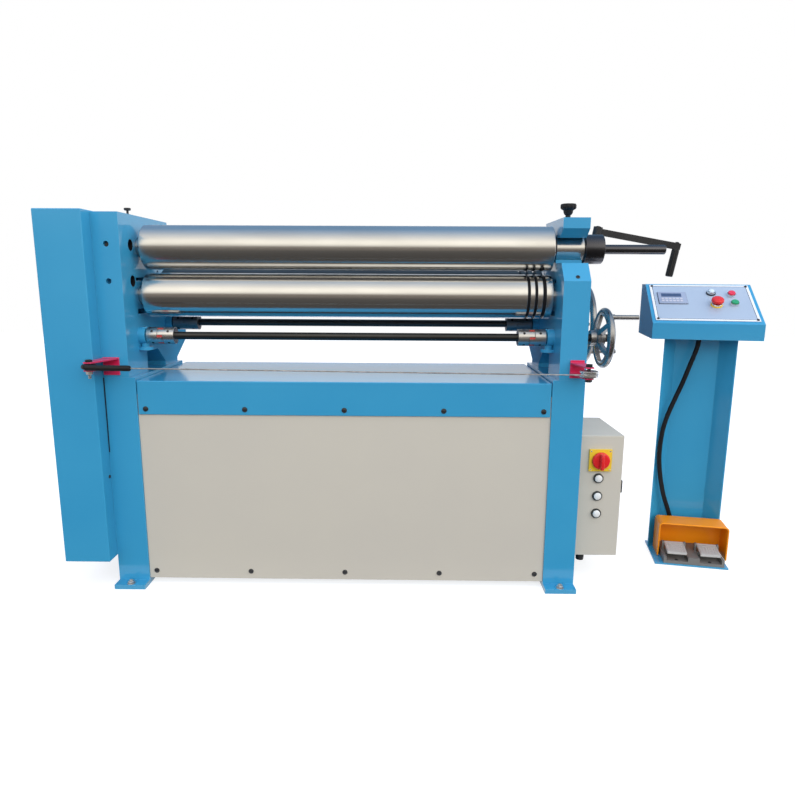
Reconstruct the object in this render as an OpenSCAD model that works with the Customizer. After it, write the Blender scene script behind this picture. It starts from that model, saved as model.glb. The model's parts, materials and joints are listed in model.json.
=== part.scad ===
// Plate rolling machine: three rolls between two side frames on a closed
// base, with a control cabinet, a free-standing control pedestal and a twin
// foot switch. Millimetres, +Z up, +Y to the rear, operator at -Y.
// The origin lies on the floor, in the middle of the four floor bolts.

/* [Base] */
// Clear width between the two legs
between_legs = 1300; // [1000:10:1800]
// Width of each leg
leg_w = 100; // [96:1:130]
// Depth of each leg, front to back
leg_depth = 425; // [420:1:480]
// Height of the legs above the floor
leg_h = 693; // [640:1:760]
// Thickness of the foot plates
foot_t = 15; // [8:1:25]
// Length of the foot tabs in front of and behind a leg
foot_tab = 40; // [34:1:60]
// Distance of a floor bolt from the leg's face
foot_bolt_out = 26; // [18:1:28]
// Diameter of the floor bolt holes
foot_hole_d = 14; // [8:0.5:16]
// Sheet thickness of the table cover
cover_t = 5; // [3:0.5:6]
// Step from the top of the legs down to the table
cover_step = 10; // [4:1:14]
// Height of the cover's front apron
apron_h = 108; // [90:1:130]
// Height of the cover's rear lip
rear_lip_h = 45; // [25:1:60]
// How far the table stands out behind the legs
cover_over = 35; // [10:1:50]
// Gap between the table cover and each leg
cover_gap = 2.5; // [1:0.5:5]
// Sheet thickness of the front and rear panels
panel_t = 3; // [2:0.5:5]
// Height of the panels' lower edge above the floor
panel_up = 20; // [10:1:40]
// How far the panels reach up behind the apron
panel_lap = 65; // [45:1:80]
// Side of the square cross beams
beam = 50; // [30:1:60]

/* [Side frames] */
// Thickness of the side frames
frame_t = 82; // [78:1:90]
// Height of the frames above the legs
frame_h = 500; // [490:1:540]
// Depth of the frames at the top
frame_top_depth = 396; // [380:1:400]
// Depth of the frames at the rear heel
heel_depth = 533; // [500:1:560]
// Length of the frames' front foot
front_foot = 149; // [130:1:150]
// Height of the arch between the frame's feet
arch_h = 65; // [40:1:66]
// Height of the right upright's front face above the legs
upright_h = 303; // [295:1:310]
// Depth of the bevel on top of the right upright
bevel_depth = 45; // [35:1:50]
// Diameter of the access holes in the left frame's inner face
access_d = 36; // [20:1:36]
// Diameter of the set screw holes in the frames' front faces
set_screw_d = 17; // [6:0.5:18]
// Width of the gear guard
guard_w = 144; // [100:1:200]
// How far the gear guard stands out in front of the frame
guard_out = 56; // [30:1:80]
// Depth of the gear guard
guard_depth = 460; // [400:5:500]
// Height of the gear guard's lower edge above the floor
guard_up = 102; // [60:1:150]
// How far the gear guard rises above the frame
guard_rise = 3; // [0:1:10]

/* [Rolls] */
// Diameter of the three rolls
roll_d = 140; // [130:1:141]
// Gap between each roll's right end face and the side frame
roll_end_gap = 13; // [9:1:20]
// Gap between each roll's left end face and the side frame
left_end_gap = 26; // [9:1:30]
// Height of the upper roll's axis above the legs
upper_roll_up = 402; // [400:1:404]
// Distance of the front rolls' axes behind the frames' front face
roll_setback = 142; // [141:1:144]
// Gap between the upper and the lower roll
nip_gap = 10.4; // [10:0.2:12]
// Distance of the rear roll behind the front rolls
rear_setback = 168; // [166:1:170]
// Height of the lower roll's axis above the rear roll's
rear_drop = 9.6; // [8:0.2:12]
// Lean of the rear roll's guide from the vertical
rear_lean = 42; // [40:0.5:43]
// Diameter of the roll necks in their bearings
neck_d = 60; // [45:1:62]
// Diameter of the upper roll's journal at the right
journal_d = 73; // [66:1:74]
// How far that journal stands out beyond the right frame
journal_out = 5; // [5:1:50]
// Radii of the wire grooves, from the roll's end inwards
groove_r = [5.5, 4.5, 4.5];
// Distances of the wire grooves from the roll's end
groove_at = [26, 52, 75];
// Width of the bearing blocks
block_w = 80; // [70:1:81]
// Height of the bearing blocks
block_h = 90; // [76:1:92]
// Travel of the lower roll upwards
lift_up = 5; // [3:0.5:5]
// Travel of the lower roll downwards
lift_down = 10; // [5:0.5:12]
// Travel of the rear roll along its guide
rear_travel = 35; // [33:1:35]
// Height of the rear roll above the low end of its guide
rear_raised = 32; // [0:1:33]
// Diameter of the rising screws under the blocks
screw_d = 20; // [12:1:20]

/* [Adjusting drives] */
// Diameter of the cross shafts
shaft_d = 25; // [20:0.5:26]
// Distance of the front shaft in front of the front rolls' axes
front_shaft_ahead = 32; // [30:1:36]
// Height of the front shaft above the legs
front_shaft_up = 122; // [118:1:126]
// Distance of the rear shaft behind the front rolls' axes
rear_shaft_back = 211; // [208:1:216]
// Height of the rear shaft above the legs
rear_shaft_up = 149; // [144:1:149]
// Diameter of the worm boxes
jack_d = 56; // [50:1:60]
// Length of the worm boxes along the shaft
jack_len = 26; // [22:1:40]
// Diameter of the jaw couplings
coupling_d = 54; // [46:1:54]
// Length of one coupling hub
hub_len = 35; // [28:1:45]
// Gap between two coupling hubs, filled by the spider
spider_gap = 18; // [14:1:22]
// Number of jaws on each coupling hub
jaws = 3; // [2:1:4]
// Radius of the front handwheel
front_wheel_r = 97; // [85:1:98]
// Radius of the rear handwheel
rear_wheel_r = 140; // [120:1:141]
// Distance of the handwheels' rims from the right frame
wheel_out = 81; // [70:1:100]
// Number of spokes in each handwheel
spokes = 5; // [3:1:6]
// Diameter of the handwheels' rims
rim_d = 20; // [16:1:22]
// Length of the handles on the handwheels
handle_len = 75; // [50:1:90]
// Diameter of the handles on the handwheels
handle_d = 15; // [12:1:18]

/* [Bearing cap] */
// Height of the frame's open seat below the upper roll's axis
seat_drop = 45; // [42:1:48]
// Depth of the open seat, front to back
seat_depth = 185; // [183:1:190]
// Height of the cap's underside above the upper roll's axis
cap_up = 32; // [30:0.5:33]
// Height of the bearing cap
cap_h = 58; // [50:1:80]
// Distance of the cap's nose behind the frame's front face
cap_back = 45; // [40:1:60]
// Length of the bearing cap up to its hinge tongue
cap_len = 245; // [240:1:250]
// Depth of the chamfer under the cap's nose
nose_depth = 35; // [20:1:45]
// Height of the chamfer under the cap's nose
nose_h = 26; // [10:1:30]
// Distance of the hinge pin behind the frame's front face
hinge_back = 330; // [325:1:335]
// Height of the hinge pin above the cap's underside
hinge_up = 23; // [23:1:27]
// Radius of the hinge ears and tongue
ear_r = 22; // [18:1:22]
// Thickness of each hinge ear
ear_t = 25; // [15:1:28]
// Diameter of the hinge pin
pin_d = 20; // [12:1:24]
// Diameter of the collar on the upper roll's journal
collar_d = 92; // [84:1:94]
// Length of the collar
collar_len = 61; // [40:1:70]
// Diameter of the lifting bar
bar_d = 30; // [24:1:34]
// Length of the lifting bar beyond the collar
bar_len = 202; // [120:1:203]
// Tilt of the clamp screw and its crank
crank_tilt = 10; // [9:0.5:11]
// Length of the crank arm between its screw and its grip
crank_len = 268; // [267:1:300]
// Height of the crank arm
arm_h = 21; // [14:1:22]
// Thickness of the crank arm
arm_t = 12; // [8:1:18]
// Diameter of the clamp screw
clamp_d = 16; // [12:1:18]
// Distance of the clamp screw from the right frame
clamp_out = 74; // [72:1:78]
// Distance of the clamp screw behind the front rolls' axes
clamp_back = 83; // [82:1:90]
// Diameter of the crank's grip
grip_d = 23; // [18:1:24]
// Length of the crank's grip
grip_len = 88; // [60:1:95]

/* [Emergency rope] */
// Height of the rope above the legs
rope_up = 36; // [30:1:46]
// Rise of the rope from its pulley to its left end
rope_rise = 12; // [0:1:20]
// Diameter of the steel rope
rope_d = 4; // [3:0.5:6]
// Distance of the rope's bolts in front of the legs
rope_ahead = 100; // [90:1:110]
// Diameter of the rope pulley
pulley_d = 52; // [46:1:56]
// Width of the rope pulley
pulley_w = 18; // [14:1:20]
// Length of the black sleeve on the rope's left end
sleeve_len = 120; // [80:1:160]
// Diameter of the black sleeve
sleeve_d = 16; // [12:1:18]

/* [Cabinet] */
// Width of the cabinet
cabinet_w = 160; // [120:1:200]
// Depth of the cabinet
cabinet_depth = 276; // [200:1:300]
// Height of the cabinet
cabinet_h = 416; // [370:1:460]
// Height of the cabinet's underside above the floor
cabinet_up = 84; // [60:1:120]
// Distance of the cabinet's front behind the legs' front
cabinet_back = 73; // [40:1:100]
// Side of the main switch's yellow plate
plate_side = 74; // [60:1:80]
// Diameter of the main switch's knob
knob_d = 57; // [45:1:60]
// Diameter of the pilot lamps' rims
lamp_d = 30; // [24:1:34]
// Distance between the cabinet's lamps
lamp_pitch = 61; // [45:1:70]

/* [Pedestal] */
// Distance of the pedestal's middle to the right of the machine's
pedestal_x = 1230; // [1180:1:1300]
// Distance of the pedestal's middle behind the machine's
pedestal_y = 51; // [-100:1:120]
// Turn of the pedestal towards the operator
pedestal_turn = 10.7; // [0:0.1:20]
// Width of the pedestal's base plate
plate_w = 245; // [220:1:300]
// Depth of the pedestal's base plate
plate_depth = 200; // [190:1:260]
// Thickness of the pedestal's base plate
plate_t = 6; // [4:0.5:10]
// Sheet thickness of the column
column_t = 3; // [2:0.5:4]
// Width of the column's flat back
column_back = 150; // [120:1:170]
// Depth of the column
column_depth = 50; // [40:1:52]
// Height of the console's underside above the floor
console_z = 798; // [700:1:900]
// Width of the console
console_w = 359; // [300:1:400]
// Depth of the console
console_depth = 270; // [240:1:300]
// Overhang of the console's front beyond the middle of the base
console_ahead = 24; // [10:1:60]
// Height of the console at the front
console_front_h = 56; // [45:1:80]
// Height of the console at the rear
console_rear_h = 186; // [150:1:210]
// Depth of the console's flat top
console_top = 71; // [50:1:90]
// Width of the aluminium control panel
fascia_w = 336; // [290:1:340]
// Thickness of the control panel
fascia_t = 2; // [1.5:0.5:3]
// Diameter of the push button rims
rim_button_d = 28; // [26:1:30]

/* [Foot switch] */
// Width of the foot switch's hood
hood_w = 235; // [210:1:260]
// Depth of the hood
hood_depth = 85; // [70:1:85]
// Height of the hood
hood_h = 126; // [110:1:150]
// Thickness of the hood's shell
hood_t = 4; // [2.5:0.5:6]
// Corner radius of the hood
hood_r = 14; // [8:1:20]
// Width of the foot switch's base beside its pedals
switch_margin = 12; // [9:1:16]
// Depth of the foot switch's base
switch_depth = 140; // [130:1:146]
// Width of each pedal
pedal_w = 66; // [50:1:70]
// Distance between the middles of the two pedals
pedal_pitch = 111; // [96:1:114]
// Slope of the pedals at rest
pedal_slope = 11; // [8:0.5:14]
// Diameter of the conduit to the foot switch
conduit_d = 16; // [12:1:18]

/* [Hidden] */

$fn = 64;
// Running clearance round turning shafts and pins
run_clear = 0.4;
// Sliding clearance beside the bearing blocks
slide_clear = 0.4;
// Clear space left at the ends of a travel
end_clear = 5;
// Fit between pieces that are pressed or bolted together
fit = 0.1;
// Extra length of a cutter past the face that it opens
cut = 1;

leg_in = between_legs / 2;
leg_out = leg_in + leg_w;
frame_in = leg_out - frame_t;
frame_mid = leg_out - frame_t / 2;
front_y = -leg_depth / 2;
rear_y = leg_depth / 2;
foot_bolt_y = rear_y + foot_bolt_out;
foot_bolt_x = leg_in + leg_w / 2;
table_z = leg_h - cover_step;
frame_top = leg_h + frame_h;

roll_y = front_y + roll_setback;
upper_z = leg_h + upper_roll_up;
lower_z = upper_z - roll_d - nip_gap;
back_roll_y = roll_y + rear_setback;
back_roll_z = lower_z - rear_drop;
roll_end = frame_in - roll_end_gap;
left_roll_end = frame_in - left_end_gap;
neck_end = leg_out - 2;

front_shaft_y = roll_y - front_shaft_ahead;
front_shaft_z = leg_h + front_shaft_up;
rear_shaft_y = roll_y + rear_shaft_back;
rear_shaft_z = leg_h + rear_shaft_up;
coupling_out = frame_in - jack_len;
coupling_in = coupling_out - 2 * hub_len - spider_gap;
spider_core = 1.4 * shaft_d;
wheel_x = leg_out + wheel_out;
wheel_hub_d = 2 * shaft_d;

seat_z = upper_z - seat_drop;
cap_z = upper_z + cap_up;
cap_y = front_y + cap_back;
cap_end = cap_y + cap_len;
hinge_y = front_y + hinge_back;
hinge_z = cap_z + hinge_up;
journal_end = leg_out + journal_out;
collar_end = journal_end + collar_len;
clamp_x = leg_out + clamp_out;
clamp_y = roll_y + clamp_back;
clamp_z = cap_z + cap_h / 2;
lug_top = upper_z - 29;

rope_y = front_y - rope_ahead;
rope_z = leg_h + rope_up;

cabinet_y = front_y + cabinet_back;

// ---- helpers ----

// Draws an outline of Y and Z, and pulls it along X
module along_x(x0, x1) translate([x0, 0, 0]) rotate([90, 0, 90])
    linear_extrude(x1 - x0) children();

// Lays a cylinder along X
module rod_x(x0, x1, d) translate([x0, 0, 0]) rotate([0, 90, 0])
    cylinder(h = x1 - x0, d = d);

// Stacks round steps along Z, each given as [bottom, top, diameter]
module turned(steps) for (step = steps)
    translate([0, 0, step[0]]) cylinder(h = step[1] - step[0], d = step[2]);

// Repeats a right-hand piece on the left
module both_sides() {
    children();
    mirror([1, 0, 0]) children();
}

// Places pieces in the tilted frame of the rear roll's guide
module in_rear_guide() translate([0, back_roll_y, back_roll_z])
    rotate([rear_lean, 0, 0]) children();

// Places pieces in the pedestal's own frame
module on_pedestal() translate([pedestal_x, pedestal_y, 0])
    rotate([0, 0, -pedestal_turn]) children();

// ---- base ----

module leg() translate([leg_in, 0, 0]) {
    translate([0, front_y, foot_t]) cube([leg_w, leg_depth, leg_h - foot_t]);
    difference() {
        translate([0, front_y - foot_tab, 0])
            cube([leg_w, leg_depth + 2 * foot_tab, foot_t]);
        for (side = [-1, 1]) translate([leg_w / 2, side * foot_bolt_y, -cut])
            cylinder(h = foot_t + 2 * cut, d = foot_hole_d);
    }
}

module legs() color("#3f97c6") both_sides() leg();

module base_beams() color("#3f97c6")
    for (side = [-1, 1], z = [panel_up + panel_t, table_z - cover_t - beam])
        translate([-leg_in, side * (rear_y - cover_t - panel_t - beam / 2)
            - beam / 2, z]) cube([2 * leg_in, beam, beam]);

module table_cover() color("#3f97c6")
    along_x(-leg_in + cover_gap, leg_in - cover_gap) polygon([
        [front_y, table_z - apron_h],
        [front_y, table_z],
        [rear_y + cover_over, table_z],
        [rear_y + cover_over, table_z - rear_lip_h],
        [rear_y + cover_over - cover_t, table_z - rear_lip_h],
        [rear_y + cover_over - cover_t, table_z - cover_t],
        [front_y + cover_t, table_z - cover_t],
        [front_y + cover_t, table_z - apron_h]]);

module base_panel() translate([-leg_in, rear_y - cover_t - panel_t, panel_up])
    cube([2 * leg_in, panel_t, table_z - apron_h + panel_lap - panel_up]);

module base_panels() color("#c9c4b6") {
    base_panel();
    mirror([0, 1, 0]) base_panel();
}

// ---- side frames ----

// Heights of the corners of the frames' rear slope and heel, above the legs
slope_h = 0.65 * frame_h;
heel_top_h = 0.31 * frame_h;
heel_low_h = 0.15 * frame_h;
// Thickness of the frames' foot at its rear edge
toe_h = 13;
// Length of the arch's flat top, and of the rear foot behind it
arch_flat = 94;
rear_foot = 119;

// Outline of a side frame below its top, in Y and Z
module frame_outline(top) difference() {
    polygon(concat([[front_y, leg_h]], top, [
        [front_y + frame_top_depth, leg_h + slope_h],
        [front_y + heel_depth, leg_h + heel_top_h],
        [front_y + heel_depth, leg_h + heel_low_h],
        [rear_y, leg_h + toe_h],
        [rear_y, leg_h]]));
    polygon([
        [front_y + front_foot, leg_h - cut],
        [front_y + front_foot, leg_h + arch_h],
        [front_y + front_foot + arch_flat, leg_h + arch_h],
        [rear_y - rear_foot, leg_h + toe_h],
        [rear_y - rear_foot, leg_h - cut]]);
}

// Length of the rising screw below a block, and of the bore that takes it
screw_len = 85;
screw_bore_len = screw_len + lift_down + 3 * end_clear;

// Windows for the sliding bearing blocks, and the bores below them
module guide_windows() {
    along_x(frame_in - cut, leg_out + cut)
        translate([roll_y, lower_z]) translate([-block_w / 2 - slide_clear,
            -block_h / 2 - lift_down - end_clear])
        square([block_w + 2 * slide_clear,
            block_h + lift_up + lift_down + 2 * end_clear]);
    translate([frame_mid, roll_y, lower_z - block_h / 2 - screw_bore_len])
        cylinder(h = screw_bore_len, d = screw_d + 2 * run_clear);
    in_rear_guide() {
        along_x(frame_in - cut, leg_out + cut)
            translate([-block_w / 2 - slide_clear, -block_h / 2 - end_clear])
            square([block_w + 2 * slide_clear,
                block_h + rear_travel + 2 * end_clear]);
        translate([frame_mid, 0, -block_h / 2 - screw_bore_len])
            cylinder(h = screw_bore_len, d = screw_d + 2 * run_clear);
    }
}

// Distance of the access holes behind the frame's front face
access_back = 78;
// Depth of the set screw holes
set_screw_depth = 30;

module left_frame() color("#3f97c6") mirror([1, 0, 0]) difference() {
    along_x(frame_in, leg_out) frame_outline([
        [front_y, frame_top],
        [front_y + frame_top_depth, frame_top]]);
    guide_windows();
    translate([0, roll_y, upper_z])
        rod_x(frame_in - cut, leg_out + cut, neck_d + 2 * run_clear);
    for (z = [upper_z + 4, lower_z + 44]) {
        translate([0, front_y + access_back, z])
            rod_x(frame_in - cut, frame_mid, access_d);
        translate([frame_mid, front_y - cut, z]) rotate([-90, 0, 0])
            cylinder(h = set_screw_depth, d = set_screw_d);
    }
}

// Height of the hinge ears' root below the pin's ears
ear_root = 18;
// Length and height of the saddle under the journal
saddle_len = 40;
saddle_h = seat_drop - 33;
// Size of the lug under the clamp screw's tip, and of the cap's lug above it
lug_w = 28;
lug_h = 14;
lug_end = clamp_out + 6;

module right_frame() color("#3f97c6") {
    difference() {
        union() {
            along_x(frame_in, leg_out) frame_outline([
                [front_y, leg_h + upright_h],
                [front_y + bevel_depth, seat_z],
                [front_y + seat_depth, seat_z],
                [front_y + seat_depth, cap_z - slide_clear],
                [cap_end, cap_z - slide_clear],
                [cap_end, hinge_z - ear_r - ear_root],
                [front_y + frame_top_depth, hinge_z - ear_r - ear_root]]);
            // saddle under the journal
            along_x(frame_in, leg_out) translate([roll_y - saddle_len / 2, seat_z - cut])
                square([saddle_len, cut + saddle_h]);
            // hinge ears
            for (x = [frame_in, leg_out - ear_t]) {
                translate([0, hinge_y, hinge_z]) rod_x(x, x + ear_t, 2 * ear_r);
                translate([x, hinge_y - ear_r, hinge_z - ear_r - ear_root - cut])
                    cube([ear_t, 2 * ear_r, ear_r + ear_root + cut]);
            }
            // lug under the clamp screw's tip
            translate([leg_out - cut, clamp_y - lug_w / 2, lug_top - lug_h])
                cube([cut + lug_end, lug_w, lug_h]);
        }
        guide_windows();
        translate([0, roll_y, upper_z])
            rod_x(frame_in - cut, leg_out + cut, journal_d + 2 * run_clear);
        for (shaft = [[front_shaft_y, front_shaft_z], [rear_shaft_y, rear_shaft_z]])
            translate([0, shaft[0], shaft[1]])
                rod_x(frame_in - cut, leg_out + cut, shaft_d + 2 * run_clear);
    }
    // hinge pin
    translate([0, hinge_y, hinge_z]) rod_x(frame_in, leg_out, pin_d);
}

module gear_guard() color("#3f97c6")
    translate([-leg_out - guard_w, front_y - guard_out, guard_up])
    cube([guard_w, guard_depth, frame_top + guard_rise - guard_up]);

// ---- rolls ----

// Ground roll body with wire grooves at its right end
module grooved_body() difference() {
    rod_x(-left_roll_end, roll_end, roll_d);
    for (i = [0 : len(groove_at) - 1])
        translate([roll_end - groove_at[i], 0, 0]) rotate([0, 90, 0])
            rotate_extrude() translate([roll_d / 2, 0]) circle(groove_r[i], $fn = 32);
}

module upper_roll() color("silver") translate([0, roll_y, upper_z]) {
    rod_x(-neck_end, -left_roll_end + cut, neck_d);
    rod_x(-left_roll_end, roll_end, roll_d);
    rod_x(roll_end - cut, journal_end, journal_d);
}

module lower_roll() color("silver") translate([0, roll_y, lower_z]) {
    rod_x(-neck_end, neck_end, neck_d);
    grooved_body();
}

module rear_roll() color("silver") in_rear_guide()
    translate([0, 0, rear_raised]) {
        rod_x(-neck_end, neck_end, neck_d);
        grooved_body();
    }

// Bearing block with its rising screw, bored for a roll neck
module bearing_block() {
    difference() {
        translate([frame_in + slide_clear, -block_w / 2, -block_h / 2])
            cube([frame_t - 2 * slide_clear, block_w, block_h]);
        rod_x(frame_in - cut, leg_out + cut, neck_d + 2 * run_clear);
    }
    translate([frame_mid, 0, -block_h / 2 - screw_len])
        cylinder(h = screw_len + cut, d = screw_d);
}

module lower_blocks() color("dimgray") translate([0, roll_y, lower_z])
    both_sides() bearing_block();

module rear_blocks() color("dimgray") in_rear_guide()
    translate([0, 0, rear_raised]) both_sides() bearing_block();

// ---- adjusting drives ----

// Height of the worm box's neck below its body, and size of its base flange
jack_drop = 18;
jack_flange_d = 2 * jack_len;
jack_flange_t = 9;

// Worm box on a frame's inner face, with its base flange below
module worm_box(y, z) translate([0, y, z]) difference() {
    union() {
        rod_x(coupling_out + 4, frame_in, jack_d);
        translate([frame_in - jack_len / 2, 0, -jack_d / 2 - jack_drop]) {
            cylinder(h = jack_d + jack_drop, d = jack_len);
            cylinder(h = jack_flange_t, d = jack_flange_d);
        }
    }
    rod_x(coupling_out - cut, frame_in + cut, shaft_d + 2 * run_clear);
    // flat side against the frame
    translate([frame_in, -jack_flange_d, -2 * jack_d])
        cube([jack_flange_d, 2 * jack_flange_d, 4 * jack_d]);
}

module screw_jacks() color("#3f97c6") both_sides() {
    worm_box(front_shaft_y, front_shaft_z);
    worm_box(rear_shaft_y, rear_shaft_z);
}

// Cross shaft and its two stubs, the right one with the handwheel on it
module shaft_set(y, z) translate([0, y, z]) {
    middle = coupling_in + hub_len;
    stub = coupling_out - hub_len;
    rod_x(-middle, middle, shaft_d);
    rod_x(-frame_in + fit, -stub, shaft_d);
    rod_x(stub, wheel_x + shaft_over, shaft_d);
}

module front_shaft() color("#303236") shaft_set(front_shaft_y, front_shaft_z);

module rear_shaft() color("#303236") shaft_set(rear_shaft_y, rear_shaft_z);

// Sectors of a ring round the X axis, as long as the coupling's gap
module sectors(count, first, width, inner, len) for (i = [0 : count - 1])
    rotate([first + i * 360 / count, 0, 0]) rotate([0, 90, 0])
        rotate([0, 0, -width / 2]) rotate_extrude(angle = width)
            translate([inner / 2, 0]) square([(coupling_d - inner) / 2, len]);

// Angle left free beside each jaw, and angle of a spider's lobe
jaw_play = 16;
lobe_angle = 14;
// Play between the spider and the hubs' end faces
spider_play = 0.5;

// Wedge round the X axis, wider than the coupling
module wedge(width, len) rotate([0, 90, 0]) linear_extrude(len)
    polygon([[0, 0], coupling_d * [cos(width / 2), -sin(width / 2)],
        coupling_d * [cos(width / 2), sin(width / 2)]]);

// One coupling hub, its jaws pointing to +X and milled out of its end
module coupling_hub() {
    jaw_end = hub_len + spider_gap - 2 * spider_play;
    difference() {
        rod_x(0, jaw_end, coupling_d);
        rod_x(-cut, jaw_end + cut, shaft_d + 2 * fit);
        rod_x(hub_len, jaw_end + cut, spider_core);
        for (i = [0 : jaws - 1]) translate([hub_len, 0, 0])
            rotate([(2 * i + 1) * 180 / jaws, 0, 0])
                wedge(180 / jaws + jaw_play, spider_gap);
    }
}

// Spider between the hubs: a ring with a lobe between every two jaws
module coupling_spider() {
    difference() {
        rod_x(spider_play, spider_gap - spider_play, spider_core - 2 * spider_play);
        rod_x(-cut, spider_gap + cut, shaft_d + 4 * spider_play);
    }
    translate([spider_play, 0, 0])
        sectors(2 * jaws, 90 / jaws, lobe_angle, spider_core - 8 * spider_play,
            spider_gap - 2 * spider_play);
}

// The two hubs of one coupling
module hub_pair() {
    translate([coupling_in, 0, 0]) coupling_hub();
    translate([coupling_out, 0, 0]) rotate([180 / jaws, 0, 0])
        mirror([1, 0, 0]) coupling_hub();
}

module front_couplings() color("lightgray")
    translate([0, front_shaft_y, front_shaft_z]) both_sides() hub_pair();

module front_spiders() color("firebrick")
    translate([0, front_shaft_y, front_shaft_z]) both_sides()
    translate([coupling_in + hub_len, 0, 0]) coupling_spider();

module rear_couplings() color("gray")
    translate([0, rear_shaft_y, rear_shaft_z]) both_sides() {
        hub_pair();
        translate([coupling_in + hub_len, 0, 0]) coupling_spider();
    }

// How far the web is dished towards the frame, and its thickness at the hub
dish = 22;
web_t = 12;
// Distance of the handwheels' hubs from the right frame
hub_out = 36;
// Width of a spoke
spoke_w = 18;
// Length of the shaft's end and of the handle's collar beyond the hub
shaft_over = 4;

// Cast handwheel: round rim, dished web cut into spokes, hub and handle
module handwheel(r, handle_turn) {
    rim_mid = r - rim_d / 2;
    hub_in = leg_out + hub_out;
    difference() {
        union() {
            translate([wheel_x, 0, 0]) rotate([0, 90, 0])
                rotate_extrude() translate([rim_mid, 0]) circle(d = rim_d, $fn = 32);
            rod_x(hub_in, wheel_x, wheel_hub_d);
            difference() {
                translate([wheel_x - dish - web_t / 2, 0, 0]) rotate([0, 90, 0])
                    rotate_extrude() polygon([[wheel_hub_d / 2 - cut, 0],
                        [wheel_hub_d / 2 - cut, web_t],
                        [rim_mid, dish + web_t], [rim_mid, dish]]);
                difference() {
                    rod_x(hub_in, wheel_x + rim_d, 2 * (rim_mid - rim_d / 2 - 3));
                    rod_x(hub_in, wheel_x + rim_d, wheel_hub_d + web_t);
                    for (i = [0 : spokes - 1]) rotate([i * 360 / spokes, 0, 0])
                        translate([hub_in - cut, 0, -spoke_w / 2])
                        cube([wheel_out, r, spoke_w]);
                }
            }
            rotate([handle_turn, 0, 0]) translate([0, -rim_mid, 0]) {
                rod_x(wheel_x, wheel_x + rim_d / 2 + shaft_over, handle_d + 4);
                rod_x(wheel_x, wheel_x + rim_d / 2 + shaft_over + handle_len, handle_d);
            }
        }
        rod_x(hub_in - cut, wheel_x + shaft_over, shaft_d + 2 * fit);
    }
}

module front_handwheel() color("#a9adb2")
    translate([0, front_shaft_y, front_shaft_z]) handwheel(front_wheel_r, -53);

module rear_handwheel() color("#a9adb2")
    translate([0, rear_shaft_y, rear_shaft_z]) handwheel(rear_wheel_r, 42);

// ---- bearing cap, lifting bar and crank ----

module bearing_cap() color("#3f97c6") difference() {
    union() {
        along_x(frame_in, leg_out) polygon([
            [cap_y, cap_z + nose_h],
            [cap_y, cap_z + cap_h],
            [cap_end, cap_z + cap_h],
            [cap_end, cap_z],
            [cap_y + nose_depth, cap_z]]);
        // hinge tongue
        translate([frame_in + ear_t + slide_clear, cap_end - cut,
            hinge_z - ear_r]) cube([frame_t - 2 * ear_t - 2 * slide_clear,
            hinge_y - cap_end + cut, 2 * ear_r]);
        translate([0, hinge_y, hinge_z]) rod_x(frame_in + ear_t + slide_clear,
            leg_out - ear_t - slide_clear, 2 * ear_r);
        // lug that carries the clamp screw
        translate([leg_out - cut, clamp_y - lug_w / 2, cap_z])
            cube([cut + lug_end, lug_w, lug_h / 2]);
        translate([leg_out + slide_clear, clamp_y - lug_w / 2, cap_z - lug_h])
            cube([lug_end - slide_clear, lug_w, lug_h + cut]);
    }
    translate([0, roll_y, upper_z])
        rod_x(frame_in - cut, leg_out + cut, journal_d + 2 * run_clear);
    translate([0, hinge_y, hinge_z])
        rod_x(frame_in, leg_out, pin_d + 2 * run_clear);
    in_clamp() translate([0, 0, -2 * cap_h]) cylinder(h = 3 * cap_h, d = clamp_d + 2 * run_clear);
}

// Places pieces on the clamp screw's tilted axis, at the crank's arm
module in_clamp() translate([clamp_x, clamp_y, clamp_z])
    rotate([0, crank_tilt, 0]) children();

module cap_oil_cup() color("#202124")
    translate([frame_mid - 5, roll_y, cap_z + cap_h])
    turned([[0, 10, 20], [9, 33, 28], [32, 49, 50]]);

module frame_oil_cup() color("#202124")
    translate([-frame_mid + 12, roll_y, frame_top])
    turned([[0, 17, 11], [16, 24, 21]]);

// Gap between the thrust ring beside the roll and the right frame
ring_gap = 2;

module lift_bar() color("#202124") translate([0, roll_y, upper_z]) {
    difference() {
        rod_x(roll_end, frame_in - ring_gap, collar_d - ring_gap);
        rod_x(roll_end - cut, frame_in, journal_d + 2 * fit);
    }
    rod_x(journal_end, collar_end, collar_d);
    rod_x(collar_end - cut, collar_end + bar_len, bar_d);
}

// Diameter of the crank's boss, and how far it stands above and below the arm
boss_d = 30;
boss_over = 4;

module clamp_crank() color("#2b2c2f") in_clamp() {
    tip = (clamp_z - lug_top - slide_clear - clamp_d / 2 * sin(crank_tilt))
        / cos(crank_tilt);
    translate([0, 0, -tip]) cylinder(h = tip, d = clamp_d);
    translate([0, 0, -arm_h / 2 - boss_over])
        cylinder(h = arm_h + 2 * boss_over, d = boss_d);
    translate([0, -arm_t / 2, -arm_h / 2])
        cube([crank_len + grip_d / 2, arm_t, arm_h]);
    translate([crank_len, 0, -arm_h / 2 - grip_len])
        cylinder(h = grip_len + cut, d = grip_d);
}

// ---- emergency pull rope ----

// Sheet thickness of the forks, the gap between their cheeks, and their web
fork_t = 4;
fork_gap = pulley_w + 6;
fork_web = 50;
web_over = 12;
// Width of the cheeks' outer ends, and how far they reach past the bolt
cheek_end = 24;
cheek_over = 10;
// Size of the forks' bolts and of their nuts
rope_bolt_d = 10;
rope_nut_d = 20;
rope_nut_h = 10;
left_bolt_x = -leg_out + 20;
right_bolt_x = leg_out - 20;

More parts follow.
